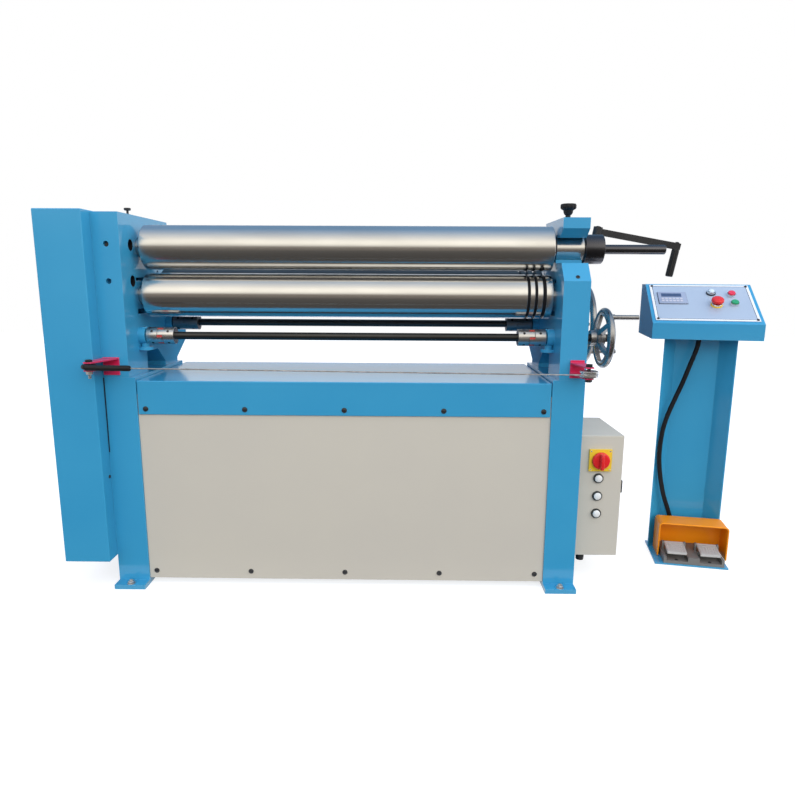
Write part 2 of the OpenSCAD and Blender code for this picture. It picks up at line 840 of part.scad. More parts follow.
// Fork of bent sheet with its upright bolt, on a frame's front foot
module rope_fork(web_x, bolt_x, z) translate([0, 0, z]) {
    for (z1 = [-fork_gap / 2 - fork_t, fork_gap / 2])
        translate([0, 0, z1]) linear_extrude(fork_t) polygon([
            [web_x - fork_web / 2, front_y], [web_x + fork_web / 2, front_y],
            [bolt_x + cheek_end / 2, rope_y - cheek_over],
            [bolt_x - cheek_end / 2, rope_y - cheek_over]]);
    translate([web_x - fork_web / 2, front_y - fork_t, -fork_gap / 2 - fork_t - web_over])
        cube([fork_web, fork_t, fork_gap + 2 * (fork_t + web_over)]);
    translate([bolt_x, rope_y, -fork_gap / 2 - 2 * rope_nut_h])
        cylinder(h = fork_gap + 4 * rope_nut_h, d = rope_bolt_d);
    for (z1 = [-fork_gap / 2 - fork_t - rope_nut_h, fork_gap / 2 + fork_t])
        translate([bolt_x, rope_y, z1]) cylinder(h = rope_nut_h, d = rope_nut_d, $fn = 6);
}

module rope_brackets() color("crimson") {
    rope_fork(-leg_out + 57, left_bolt_x, rope_z + rope_rise);
    rope_fork(leg_out - 30, right_bolt_x, rope_z);
}

module rope_pulley() color("silver") translate([right_bolt_x, rope_y, rope_z])
    difference() {
        translate([0, 0, -pulley_w / 2]) cylinder(h = pulley_w, d = pulley_d);
        rotate_extrude() translate([rope_turn_r, 0])
            circle(d = rope_d + 2 * rope_clear);
        rotate_extrude() translate([rope_turn_r, -rope_d / 2 - rope_clear])
            square([pulley_d, rope_d + 2 * rope_clear]);
        translate([0, 0, -pulley_w / 2 - cut])
            cylinder(h = pulley_w + 2 * cut, d = rope_bolt_d + 2 * run_clear);
    }

// Clearance of the rope in the pulley's groove, and the radius of its turn
rope_clear = 0.3;
rope_turn_r = pulley_d / 2 - 1;
// Place and size of the rope's switch on the right frame
rope_switch_y = 150;
rope_switch_size = [45, 90, 70];

module pull_rope() color("gainsboro") {
    // from the sleeve at the left bolt to the pulley
    x0 = left_bolt_x + rope_bolt_d;
    run = right_bolt_x - x0;
    translate([right_bolt_x, rope_y - rope_turn_r, rope_z])
        rotate([0, atan2(rope_rise, run), 0]) {
            rod_x(-run, 0, rope_d);
            rod_x(-run - rope_d, sleeve_len - run - rope_d, sleeve_d);
        }
    // round the pulley
    translate([right_bolt_x, rope_y, rope_z]) intersection() {
        rotate_extrude() translate([rope_turn_r, 0]) circle(d = rope_d);
        translate([0, -pulley_d, -pulley_d / 2]) cube(pulley_d);
    }
    // back to the switch beside the frame
    translate([right_bolt_x + rope_turn_r, rope_y, rope_z]) rotate([-90, 0, 0])
        cylinder(h = rope_switch_y - rope_y, d = rope_d);
}

module rope_switch() color("#d9b21f")
    translate([leg_out, rope_switch_y, rope_z - rope_switch_size.z / 2])
    cube(rope_switch_size);

// ---- control cabinet ----

module cabinet() color("#d3d0c6") translate([leg_out, cabinet_y, cabinet_up])
    cube([cabinet_w, cabinet_depth, cabinet_h]);

// Distance of the main switch below the cabinet's top
switch_drop = 82;
switch_x = leg_out + cabinet_w / 2 + 4;
switch_z = cabinet_up + cabinet_h - switch_drop;
// Thickness of the switch's plate, its stem's diameter and its knob's steps
plate_h = 8;
stem_d = 16;
knob_t = 12;
knob_bar = 16;

module switch_plate() color("gold")
    translate([switch_x, cabinet_y, switch_z]) rotate([90, 0, 0]) difference() {
        translate([-plate_side / 2, -plate_side / 2, 0])
            cube([plate_side, plate_side, plate_h]);
        translate([0, 0, -cut]) cylinder(h = plate_h + 2 * cut, d = stem_d + 2 * run_clear);
    }

module switch_knob() color("red")
    translate([switch_x, cabinet_y, switch_z]) rotate([90, 0, 0]) {
        turned([[run_clear, plate_h + knob_t, stem_d],
            [plate_h + run_clear, plate_h + knob_t, knob_d]]);
        translate([-knob_bar / 2, -knob_d / 2 + 2, plate_h + knob_t - cut])
            cube([knob_bar, knob_d - 4, knob_bar]);
    }

// Pilot lamp with its rim, pointing to +Z
module pilot_lamp() turned([[0, 7, lamp_d], [0, 12, lamp_d - 8]]);

// Distance of the first lamp below the main switch
first_lamp_drop = 62;
// Place of the console's lamp, across the panel and up its slope
console_lamp = [36, 177];

module pilot_lamps() color("whitesmoke") {
    for (i = [0 : 2])
        translate([switch_x - 2, cabinet_y, switch_z - first_lamp_drop - i * lamp_pitch])
            rotate([90, 0, 0]) pilot_lamp();
    on_console(console_lamp) translate([0, 0, fascia_t]) pilot_lamp();
}

// Size of the door's latch, and its height above the cabinet's middle
latch_size = [9, 14, 42];
latch_rise = 9;
// Length, diameters and place of the cable gland under the cabinet
gland_len = 26;
gland_d = 26;
gland_bore = 14;
gland_at = [45, 27];

module cabinet_fittings() color("#1d1e20") {
    translate([leg_out + cabinet_w, cabinet_y + latch_size.y,
        cabinet_up + cabinet_h / 2 + latch_rise]) cube(latch_size);
    // cable gland, its outlet empty
    translate([leg_out + gland_at.x, cabinet_y + gland_at.y, cabinet_up - gland_len])
        difference() {
            cylinder(h = gland_len, d = gland_d);
            translate([0, 0, -cut]) cylinder(h = gland_len - 1, d = gland_bore);
        }
}

// ---- pedestal ----

module pedestal() color("#3f97c6") on_pedestal() {
    translate([-plate_w / 2, -plate_depth / 2, 0]) cube([plate_w, plate_depth, plate_t]);
    translate([0, plate_depth / 2, plate_t - cut])
        linear_extrude(console_z - plate_t + cut) column_outline();
}

// Bent channel, open to the front, its back along the X axis
module column_outline() {
    half = column_back / 2;
    flare = (plate_w - column_back) / 2;
    slant = column_t * sqrt(1 + pow(flare / column_depth, 2));
    polygon([
        [-half - flare, -column_depth], [-half, 0], [half, 0],
        [half + flare, -column_depth], [half + flare - slant, -column_depth],
        [half - column_t / 2, -column_t], [-half + column_t / 2, -column_t],
        [-half - flare + slant, -column_depth]]);
}

// Outline of the console's side, in Y and Z
console_y = -console_ahead;
slope_run = console_depth - console_top;
slope_rise = console_rear_h - console_front_h;
slope_angle = atan2(slope_rise, slope_run);
slope_len = norm([slope_run, slope_rise]);

// Places pieces on the console's sloping face, at [across, up the slope]
module on_console(at) on_pedestal()
    translate([0, console_y, console_z + console_front_h])
    rotate([slope_angle, 0, 0]) translate([at.x, at.y, 0]) children();

// Places of the emergency stop, the stop and the start button on that face
controls = [[43, 107], [101, 166], [102, 111]];
// Diameter and depth of the holes behind the buttons
button_hole_d = 22;
button_depth = 24;
// Distances of the panel from the lower and the upper edge of the face
fascia_low = 14;
fascia_high = 8;
// Place and size of the display's frame
display_at = [-145, 111];
display_size = [94, 68, fascia_t + 3];

module console_box() color("#3f97c6") difference() {
    on_pedestal() along_x(-console_w / 2, console_w / 2) polygon([
        [console_y, console_z],
        [console_y + console_depth, console_z],
        [console_y + console_depth, console_z + console_rear_h],
        [console_y + slope_run, console_z + console_rear_h],
        [console_y, console_z + console_front_h]]);
    for (at = controls) on_console(at)
        translate([0, 0, -button_depth]) cylinder(h = button_depth + cut, d = button_hole_d);
}

module console_panel() color("#c3c2d4") on_console([0, 0]) {
    difference() {
        translate([-fascia_w / 2, fascia_low, 0])
            cube([fascia_w, slope_len - fascia_low - fascia_high, fascia_t]);
        for (at = controls) translate([at.x, at.y, -cut])
            cylinder(h = fascia_t + 2 * cut, d = button_hole_d);
    }
    translate(display_at) cube(display_size);
}

// Bore of the buttons' rims, the rims' height and the emergency stop's rim
button_bore = 20;
rim_h = 6;
estop_rim_d = rim_button_d + 16;
// How far a stem reaches below the panel
stem_below = 8;

module button_rims() color("lightgray") for (at = controls)
    on_console(at) translate([0, 0, fascia_t]) difference() {
        cylinder(h = rim_h, d = at == controls[0] ? estop_rim_d : rim_button_d);
        translate([0, 0, -cut]) cylinder(h = rim_h + 2 * cut, d = button_bore);
    }

// Push button of a cap on a stem, the cap's bottom above the panel by stand
module push_button(at, cap_d, cap_t, stand) on_console(at)
    turned([[-stem_below, fascia_t + stand + cut, stem_in_rim_d],
        [fascia_t + stand, fascia_t + stand + cap_t, cap_d]]);

stem_in_rim_d = button_bore - 2 * run_clear;

module estop_button() color("crimson") push_button(controls[0], 40, 14, 17);

module stop_button() color("crimson") push_button(controls[1], stem_in_rim_d, 3, rim_h);

module start_button() color("seagreen") push_button(controls[2], stem_in_rim_d, 3, rim_h);

// ---- foot switch ----

// Place of the hood and of the switch's base on the pedestal's plate
hood_x = 14;
hood_front = -36;
switch_x0 = 8;
switch_front = -97;
// Height and width of the switch's base
switch_h = 26;
switch_w = pedal_pitch + pedal_w + 2 * switch_margin;
// Depth and floor of the wells under the pedals, and the play beside a pedal
well_depth = 62;
well_floor = 10;
well_play = 3;
// Pedals: front edge, hinge axis, thickness, pin, barrel and side gap
pedal_front = switch_front + 8;
pedal_axis_y = -22;
pedal_axis_z = plate_t + 46;
pedal_t = 6;
pedal_pin_d = 8;
barrel_d = 14;
pedal_gap = 1;
// Thickness of the pedals' hinge ears, and their diameter round the pin
pedal_ear_t = 6;
pedal_ear_d = 18;

module foot_switch_hood() color("darkorange") on_pedestal()
    translate([hood_x, hood_front, plate_t]) rotate([90, 0, 0]) mirror([0, 0, 1])
    difference() {
        linear_extrude(hood_depth) hood_outline(hood_w / 2, hood_h, hood_r);
        translate([0, 0, -cut]) linear_extrude(hood_depth - hood_t + cut)
            translate([0, -cut]) hood_outline(hood_w / 2 - hood_t,
                hood_h - hood_t + cut, hood_r - hood_t);
    }

// Outline of the hood: square at the foot, round at the top
module hood_outline(half, h, r) {
    translate([-half, 0]) square([2 * half, h - r]);
    translate([-half + r, 0]) square([2 * half - 2 * r, h]);
    for (side = [-1, 1]) translate([side * (half - r), h - r]) circle(r);
}

module foot_switch_base() color("darkgray") on_pedestal() translate([switch_x0, 0, 0]) {
    difference() {
        translate([-switch_w / 2, switch_front, plate_t])
            cube([switch_w, switch_depth, switch_h]);
        for (side = [-1, 1]) translate([side * pedal_pitch / 2 - pedal_w / 2 - well_play,
            switch_front - cut, plate_t + well_floor])
            cube([pedal_w + 2 * well_play, well_depth + cut, switch_h]);
    }
    // hinge ears and pins of the pedals
    for (side = [-1, 1]) translate([side * pedal_pitch / 2, pedal_axis_y, 0]) {
        for (ear = [-1, 1])
            translate([ear * (pedal_w + pedal_ear_t + 2 * pedal_gap) / 2, 0, 0]) {
                translate([-pedal_ear_t / 2, -pedal_ear_d / 2, plate_t + switch_h - cut])
                    cube([pedal_ear_t, pedal_ear_d,
                        pedal_axis_z - plate_t - switch_h + cut]);
                translate([0, 0, pedal_axis_z])
                    rod_x(-pedal_ear_t / 2, pedal_ear_t / 2, pedal_ear_d);
            }
        translate([0, 0, pedal_axis_z]) rod_x(-pedal_w / 2 - pedal_gap - cut,
            pedal_w / 2 + pedal_gap + cut, pedal_pin_d);
    }
}

// Pedal plate with its barrel, hinged at the rear edge
module pedal(side) color("lightgray") on_pedestal()
    translate([switch_x0 + side * pedal_pitch / 2, pedal_axis_y, pedal_axis_z])
    rotate([pedal_slope, 0, 0]) difference() {
        union() {
            translate([-pedal_w / 2, pedal_front - pedal_axis_y, 0])
                cube([pedal_w, pedal_axis_y - pedal_front, pedal_t]);
            rod_x(-pedal_w / 2, pedal_w / 2, barrel_d);
        }
        rod_x(-pedal_w / 2 - cut, pedal_w / 2 + cut, pedal_pin_d + 2 * run_clear);
    }

module left_pedal() pedal(-1);

module right_pedal() pedal(1);

// Route of the conduit in the pedestal's frame, from the console down
route = [[-8, 50, 798], [-8, 50, 784], [-14, 50, 752], [-28, 51, 705],
    [-47, 54, 638], [-70, 54, 572], [-92, 49, 508], [-104, 46, 450],
    [-108, 45, 375], [-101, 48, 304], [-81, 58, 216], [-57, 68, 150],
    [-45, 72, 115], [-40, 73, 92], [-38, 70, 75], [-38, 62, 64],
    [-38, 57, 62], [-38, 49, 62]];

module foot_conduit() color("#1a1b1d") on_pedestal() sweep(route, conduit_d / 2, 10);

// Tube of n sides along points, as one closed surface
module sweep(p, r, n) {
    function dir(i) = let (a = p[max(i - 1, 0)], b = p[min(i + 1, len(p) - 1)])
        (b - a) / norm(b - a);
    function ring(i) = let (d = dir(i), u = cross(d, [1, 0, 0]) / norm(cross(d, [1, 0, 0])),
        v = cross(d, u)) [for (k = [0 : n - 1])
            p[i] + r * (u * cos(360 * k / n) + v * sin(360 * k / n))];
    polyhedron(
        [for (i = [0 : len(p) - 1]) each ring(i)],
        concat([[for (k = [0 : n - 1]) k]],
            [for (i = [0 : len(p) - 2], k = [0 : n - 1])
                [i * n + k, (i + 1) * n + k, (i + 1) * n + (k + 1) % n, i * n + (k + 1) % n]],
            [[for (k = [n - 1 : -1 : 0]) (len(p) - 1) * n + k]]));
}

legs();
base_beams();
table_cover();
base_panels();
left_frame();
right_frame();
gear_guard();
frame_oil_cup();
upper_roll();
lift_bar();
lower_roll();
rear_roll();
lower_blocks();
rear_blocks();
screw_jacks();
front_shaft();
rear_shaft();
front_couplings();
front_spiders();
rear_couplings();
front_handwheel();
rear_handwheel();
bearing_cap();
cap_oil_cup();
clamp_crank();
rope_brackets();
rope_pulley();
pull_rope();
rope_switch();
cabinet();
switch_plate();
switch_knob();
pilot_lamps();
cabinet_fittings();
pedestal();
console_box();
console_panel();
button_rims();
estop_button();
stop_button();
start_button();
foot_switch_hood();
foot_switch_base();
left_pedal();
right_pedal();
foot_conduit();
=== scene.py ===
"""The plate rolling machine's finishes and small parts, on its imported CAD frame.

Everything is in metres, in the CAD's own frame: +Z up, +Y to the rear, the rolls along X.
"""

import json
import math

import bmesh
import bpy
from mathutils import Matrix, Vector


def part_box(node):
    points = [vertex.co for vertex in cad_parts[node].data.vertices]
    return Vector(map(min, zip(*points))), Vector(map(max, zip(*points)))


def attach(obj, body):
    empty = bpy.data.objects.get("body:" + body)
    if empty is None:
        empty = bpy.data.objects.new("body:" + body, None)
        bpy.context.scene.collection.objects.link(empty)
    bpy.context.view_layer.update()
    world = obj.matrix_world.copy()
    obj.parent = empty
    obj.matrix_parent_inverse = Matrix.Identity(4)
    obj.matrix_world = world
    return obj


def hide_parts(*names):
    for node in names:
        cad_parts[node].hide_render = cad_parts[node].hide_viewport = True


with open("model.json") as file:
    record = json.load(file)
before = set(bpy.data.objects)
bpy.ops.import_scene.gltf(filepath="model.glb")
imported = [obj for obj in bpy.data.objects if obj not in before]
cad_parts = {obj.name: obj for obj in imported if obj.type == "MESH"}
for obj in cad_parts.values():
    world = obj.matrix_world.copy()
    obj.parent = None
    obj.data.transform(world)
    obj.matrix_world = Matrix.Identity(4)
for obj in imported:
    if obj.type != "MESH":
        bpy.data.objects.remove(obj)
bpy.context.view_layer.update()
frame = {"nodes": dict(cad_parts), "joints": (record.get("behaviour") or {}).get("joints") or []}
scene = bpy.context.scene


# --- Camera ---------------------------------------------------------------------------
# A wide lens at a standing operator's eye, 2 m in front of the table and left of the
# console, looking slightly down.

eye = Vector((0.192, -2.1493, 1.0041))
look_down = math.radians(10.765)
look_left = math.radians(0.686)
lean_right = math.radians(0.282)

camera = bpy.data.objects.new("camera", bpy.data.cameras.new("camera"))
camera.data.sensor_width = 36
camera.data.lens = 28.61
camera.matrix_world = (
    Matrix.Translation(eye)
    @ Matrix.Rotation(look_left, 4, "Z")
    @ Matrix.Rotation(math.pi / 2 - look_down, 4, "X")
    @ Matrix.Rotation(lean_right, 4, "Z")
)
scene.collection.objects.link(camera)
scene.camera = camera


# --- Foot switch conduit --------------------------------------------------------------
# A black plastic-covered flexible conduit. It drops out of the console's floor, bows to
# the left inside the column's open channel, and goes into the back of the foot switch.


def add(tree, kind, inputs=None, **settings):
    """Adds a shader node. Its inputs take plain values or other nodes' sockets."""
    made = tree.nodes.new(kind)
    for name, value in settings.items():
        setattr(made, name, value)
    for name, value in (inputs or {}).items():
        if isinstance(value, bpy.types.NodeSocket):
            tree.links.new(value, made.inputs[name])
        else:
            made.inputs[name].default_value = value
    return made


def maths(tree, operation, *values):
    """Works out one number from others."""
    return add(tree, "ShaderNodeMath", dict(enumerate(values)), operation=operation).outputs[0]


def noise(tree, place, scale, detail):
    """Cloudy noise over a place, as a number."""
    return add(tree, "ShaderNodeTexNoise", {"Vector": place, "Scale": scale, "Detail": detail}).outputs["Fac"]


def ranged(tree, value, low, high, to_low=0.0, to_high=1.0):
    """A number whose stretch from low to high is led to another one."""
    limits = {"Value": value, "From Min": low, "From Max": high, "To Min": to_low, "To Max": to_high}
    return add(tree, "ShaderNodeMapRange", limits).outputs[0]


def blended(tree, mask, colour, other):
    """A colour that turns into another one where the mask is 1."""
    return add(tree, "ShaderNodeMix", {0: mask, 6: colour, 7: other}, data_type="RGBA").outputs[2]


def dented(tree, height, distance, strength=1.0):
    """A surface's normal from a height over it."""
    dents = {"Height": height, "Distance": distance, "Strength": strength}
    return add(tree, "ShaderNodeBump", dents).outputs[0]


def effect(name, inputs):
    """A new effect, as (group, what it is given). It gives colour, roughness and normal."""
    group = bpy.data.node_groups.new(name, "ShaderNodeTree")
    for socket, value in inputs.items():
        kind = {3: "Vector", 4: "Color"}[len(value)] if isinstance(value, tuple) else "Float"
        made = group.interface.new_socket(socket, in_out="INPUT", socket_type="NodeSocket" + kind)
        made.default_value = value
    for socket, kind in (("Colour", "Color"), ("Roughness", "Float"), ("Normal", "Vector")):
        group.interface.new_socket(socket, in_out="OUTPUT", socket_type="NodeSocket" + kind)
    return group, add(group, "NodeGroupInput").outputs


def finish(name, skin, given, **values):
    """A material: what an effect is given, in its order, and plain values on the shader."""
    material = bpy.data.materials.new(name)
    material.use_nodes = True
    tree = material.node_tree
    placed = add(tree, "ShaderNodeGroup", node_tree=skin)
    for socket, value in zip(placed.inputs, given, strict=True):
        socket.default_value = (*value, 1) if socket.type == "RGBA" else value
    shader = tree.nodes["Principled BSDF"]
    for socket, value in values.items():
        shader.inputs[socket.replace("_", " ")].default_value = value
    for output, socket in (("Colour", "Base Color"), ("Roughness", "Roughness"), ("Normal", "Normal")):
        tree.links.new(placed.outputs[output], shader.inputs[socket])
    return material


# Moulded skin: a faint unevenness of colour, gloss and surface, in the mesh's own metres
moulded_skin, given = effect(
    "moulded skin",
    {
        "Colour": (0.5, 0.5, 0.5, 1),
        "Pale Colour": (0.6, 0.6, 0.6, 1),
        "Roughness": 0.5,
        "Grain Size": 900.0,
        "Grain Height": 0.0001,
    },
)
where = add(moulded_skin, "ShaderNodeTexCoord").outputs["Object"]
patches = noise(moulded_skin, where, 14.0, 4.0)
grain = noise(moulded_skin, where, given["Grain Size"], 2.0)
spread = ranged(moulded_skin, patches, 0.3, 0.7, -0.06, 0.08)
add(
    moulded_skin,
    "NodeGroupOutput",
    {
        "Colour": blended(moulded_skin, patches, given["Colour"], given["Pale Colour"]),
        "Roughness": maths(moulded_skin, "ADD", given["Roughness"], spread),
        "Normal": dented(moulded_skin, grain, given["Grain Height"]),
    },
)


def moulded(name, colour, pale, roughness, grain_size=900.0, grain_height=0.0001, **values):
    """A moulded plastic or rubber, from its colour and the paler tone that dust gives it."""
    return finish(name, moulded_skin, (colour, pale, roughness, grain_size, grain_height), **values)


black_rubber = moulded(
    "black rubber", (0.006, 0.007, 0.009), (0.014, 0.014, 0.016), 0.5, Specular_IOR_Level=0.22
)

# The pedestal's own frame: the middle of its base plate on the floor, turned as its pedals
joints = {joint["name"]: joint for joint in frame["joints"]}
across = Vector(joints["left_pedal_press"]["axis"])
plate_mid = sum(map(Vector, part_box("pedestal")), Vector()) / 2
pedestal = Matrix.Translation((plate_mid.x, plate_mid.y, 0)) @ (
    Matrix.Rotation(math.atan2(across.y, across.x), 4, "Z")
)

conduit_d = 0.016
conduit_route = [
    (-0.008, 0.050, 0.798),
    (-0.008, 0.050, 0.784),
    (-0.014, 0.050, 0.752),
    (-0.028, 0.051, 0.705),
    (-0.047, 0.054, 0.638),
    (-0.070, 0.054, 0.572),
    (-0.092, 0.049, 0.508),
    (-0.104, 0.046, 0.450),
    (-0.108, 0.045, 0.375),
    (-0.101, 0.048, 0.304),
    (-0.081, 0.058, 0.216),
    (-0.057, 0.068, 0.150),
    (-0.045, 0.072, 0.115),
    (-0.040, 0.073, 0.092),
    (-0.038, 0.070, 0.075),
    (-0.038, 0.062, 0.064),
    (-0.038, 0.057, 0.062),
    (-0.038, 0.049, 0.062),
]


def smooth_route(points, steps):
    """Points along a smooth curve through the given ones, steps to each stretch."""
    ends = [points[0] * 2 - points[1], *points, points[-1] * 2 - points[-2]]
    route = []
    for before, start, end, after in zip(ends, ends[1:], ends[2:], ends[3:]):
        for step in range(steps):
            t = step / steps
            bend = (2 * before - 5 * start + 4 * end - after) * t * t
            bend += (3 * start - before - 3 * end + after) * t * t * t
            route.append((2 * start + (end - before) * t + bend) / 2)
    return [*route, points[-1]]


def loft(bm, rings, closed=True):
    """Adds a skin over rings of points, its ends closed. A ring of one point is a tip."""
    rings = [[bm.verts.new(point) for point in ring] for ring in rings]
    for lower, upper in zip(rings, rings[1:]):
        for k in range(max(len(lower), len(upper))):
            corners = [(lower, k), (lower, k + 1), (upper, k + 1), (upper, k)]
            bm.faces.new(dict.fromkeys(ring[at % len(ring)] for ring, at in corners))
    for ring in (rings[0], rings[-1]):
        if closed and len(ring) > 1:
            bm.faces.new(ring)


def thread(bm, route, radius, sides=16, strands=0, lay=0.03):
    """Adds a closed round tube along a route, twisted from strands where there are any."""
    side = (route[1] - route[0]).orthogonal().normalized()
    rings = []
    gone = 0.0
    for i, point in enumerate(route):
        ahead = (route[min(i + 1, len(route) - 1)] - route[max(i - 1, 0)]).normalized()
        side = (side - ahead * side.dot(ahead)).normalized()
        other = ahead.cross(side)
        gone += (point - route[max(i - 1, 0)]).length
        ring = []
        for k in range(sides):
            angle = 2 * math.pi * k / sides
            swell = abs(math.cos(strands / 2 * (angle + 2 * math.pi * gone / lay))) if strands else 1
            out = side * math.cos(angle) + other * math.sin(angle)
            ring.append(point + out * radius * (0.8 + 0.2 * swell))
        rings.append(ring)
    loft(bm, rings)


def piece(name, bm, material, body, crease=35):
    """Makes a mesh into a piece on a body. Edges sharper than crease degrees stay sharp."""
    bmesh.ops.recalc_face_normals(bm, faces=bm.faces)
    mesh = bpy.data.meshes.new(name)
    bm.to_mesh(mesh)
    bm.free()
    for face in mesh.polygons:
        face.use_smooth = True
    mesh.set_sharp_from_angle(angle=math.radians(crease))
    mesh.materials.append(material)
    made = bpy.data.objects.new(name, mesh)
    scene.collection.objects.link(made)
    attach(made, body)
    return made


route = smooth_route([pedestal @ Vector(point) for point in conduit_route], 5)
bm = bmesh.new()
thread(bm, route, conduit_d / 2, sides=20)
conduit = piece("conduit", bm, black_rubber, "machine")
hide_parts("foot_conduit")


# --- Emergency pull rope --------------------------------------------------------------
# A 4 mm galvanised wire rope, laid up from six strands and drawn tight across the table.
# A black plastic sleeve holds its left end, and it turns round a pulley to its switch.


def vectors(tree, operation, one, other):
    """Works out one vector from two."""
    return add(tree, "ShaderNodeVectorMath", {0: one, 1: other}, operation=operation).outputs["Vector"]


# Turned steel: fine tool lines round one axis of the piece, and soft oily patches
turned_skin, given = effect(
    "turned steel",
    {
        "Colour": (0.7, 0.7, 0.7, 1),
        "Dull Colour": (0.5, 0.5, 0.5, 1),
        "Roughness": 0.2,
        "Lines": (900.0, 6.0, 6.0),
        "Patches": (1.6, 7.0, 7.0),
        "Line Height": 0.00002,
    },
)
where = add(turned_skin, "ShaderNodeTexCoord").outputs["Object"]
lines = noise(turned_skin, vectors(turned_skin, "MULTIPLY", where, given["Lines"]), 1.0, 3.0)
patches = noise(turned_skin, vectors(turned_skin, "MULTIPLY", where, given["Patches"]), 1.0, 5.0)
mist = ranged(turned_skin, patches, 0.42, 0.68)
dulled = maths(turned_skin, "MULTIPLY", mist, 0.09)
scratched = maths(turned_skin, "MULTIPLY", lines, 0.07)
spread = maths(turned_skin, "ADD", dulled, scratched)
add(
    turned_skin,
    "NodeGroupOutput",
    {
        "Colour": blended(turned_skin, mist, given["Colour"], given["Dull Colour"]),
        "Roughness": maths(turned_skin, "ADD", spread, given["Roughness"]),
        "Normal": dented(turned_skin, lines, given["Line Height"], 0.6),
    },
)


def turned_steel(name, colour, dull, roughness, lines, patches=(1.6, 7.0, 7.0), height=0.00002, **values):
    """A turned or ground steel. lines and patches say how fine they are along X, Y and Z."""
    given = (colour, dull, roughness, lines, patches, height)
    return finish(name, turned_skin, given, Metallic=1.0, **values)


def spoke(radius, angle, height=0.0):
    """A point by its radius and angle round Z, and its height."""
    return Vector((radius * math.cos(angle), radius * math.sin(angle), height))


def turn(bm, profile, at, sides=32):
    """Adds a turned solid: (radius, height) from end to end, round the local Z of at."""
    rings = []
    for radius, height in profile:
        angles = [2 * math.pi * k / sides for k in range(sides if radius else 1)]
        rings.append([at @ spoke(radius, angle, height) for angle in angles])
    loft(bm, rings)


def facing(direction, place):
    """Where a turned piece stands: its axis along direction, its foot at place."""
    return Matrix.Translation(place) @ Vector(direction).to_track_quat("Z", "Y").to_matrix().to_4x4()


rope_d = 0.004
rope_y = -0.3125
rope_z = 0.729
rope_rise = 0.012
pulley_x = 0.73
left_bolt_x = -0.741
turn_r = 0.025
turn_steps = 10
switch_y = 0.15
rope_step = 0.004
rope_start = Vector((left_bolt_x + 0.006, rope_y - turn_r, rope_z + rope_rise))
pulley_in = Vector((pulley_x, rope_y - turn_r, rope_z))

steps = round((pulley_in - rope_start).length / rope_step)
route = [rope_start.lerp(pulley_in, i / steps) for i in range(steps)]
for i in range(turn_steps):
    angle = math.pi / 2 * (i / turn_steps - 1)
    route.append(Vector((pulley_x + turn_r * math.cos(angle), rope_y + turn_r * math.sin(angle), rope_z)))
steps = round((switch_y - rope_y) / rope_step)
for i in range(steps + 1):
    route.append(Vector((pulley_x + turn_r, rope_y + (switch_y - rope_y) * i / steps, rope_z)))

galvanised = turned_steel(
    "galvanised wire", (0.62, 0.62, 0.62), (0.4, 0.4, 0.4), 0.3, (700.0, 700.0, 700.0), (40.0, 40.0, 40.0)
)
black_plastic = moulded(
    "black plastic", (0.007, 0.007, 0.008), (0.015, 0.015, 0.016), 0.42, Specular_IOR_Level=0.3
)
bm = bmesh.new()
thread(bm, route, rope_d / 2, sides=12, strands=6, lay=0.028)
rope = piece("pull_rope_strands", bm, galvanised, "machine", crease=60)
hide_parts("pull_rope")

sleeve_d = 0.017
sleeve_len = 0.132
rope_hole = 0.0024
run = (pulley_in - rope_start).normalized()
bm = bmesh.new()
turn(
    bm,
    [
        (rope_hole, 0.003),
        (0.0078, 0),
        (sleeve_d / 2, 0.0025),
        (sleeve_d / 2, sleeve_len - 0.004),
        (0.0066, sleeve_len - 0.001),
        (0.0042, sleeve_len),
        (rope_hole, sleeve_len - 0.004),
    ],
    facing(run, rope_start - run * rope_d),
)
sleeve = piece("rope_sleeve", bm, black_plastic, "machine")


# --- Studio ---------------------------------------------------------------------------
# A white floor without a horizon and one wide soft lamp at the front. Cards in front and
# overhead, behind, and on the floor give the polished steel its bright and dark bands.

scene.view_settings.view_transform = "Standard"


def ramped(tree, value, first, last, between=()):
    """A colour read from a value's place between a first and a last colour."""
    made = add(tree, "ShaderNodeValToRGB", {0: value})
    ramp = made.color_ramp.elements
    ramp[0].color = (*first, 1)
    ramp[1].color = (*last, 1)
    for place, colour in between:
        ramp.new(place).color = (*colour, 1)
    return made.outputs["Color"]


def looked_at(tree, unseen, seen):
    """One shader that lights the object, and another for the camera, gloss and glass."""
    ray = add(tree, "ShaderNodeLightPath").outputs
    mirrored = maths(tree, "MAXIMUM", ray["Is Glossy Ray"], ray["Is Transmission Ray"])
    mask = maths(tree, "MAXIMUM", ray["Is Camera Ray"], mirrored)
    return add(tree, "ShaderNodeMixShader", {0: mask, 1: unseen.outputs[0], 2: seen.outputs[0]}).outputs[0]


# The light is bright from above and front right, and dim and blue from behind left
hall = bpy.data.worlds.new("hall")
hall.use_nodes = True
tree = hall.node_tree
tree.nodes.clear()
direction = add(tree, "ShaderNodeTexCoord").outputs["Generated"]
height = add(tree, "ShaderNodeSeparateXYZ", {0: direction}).outputs["Z"]
bands = ramped(
    tree,
    maths(tree, "MULTIPLY_ADD", height, 0.5, 0.5),
    (0.2, 0.2, 0.2),
    (1.6, 1.78, 2.1),
    ((0.45, (0.35, 0.35, 0.35)), (0.52, (1.15, 1.13, 1.1)), (0.7, (1.6, 1.62, 1.68))),
)
lean = add(tree, "ShaderNodeVectorMath", {0: direction, 1: (0.38, -0.325, 0.0)}, operation="DOT_PRODUCT")
tint = ramped(tree, maths(tree, "ADD", lean.outputs["Value"], 0.5), (0.04, 0.08, 0.2), (1.28, 1.27, 1.24))
tinted = vectors(tree, "MULTIPLY", bands, tint)
daylight = add(tree, "ShaderNodeBackground", {"Color": tinted, "Strength": 1.0})
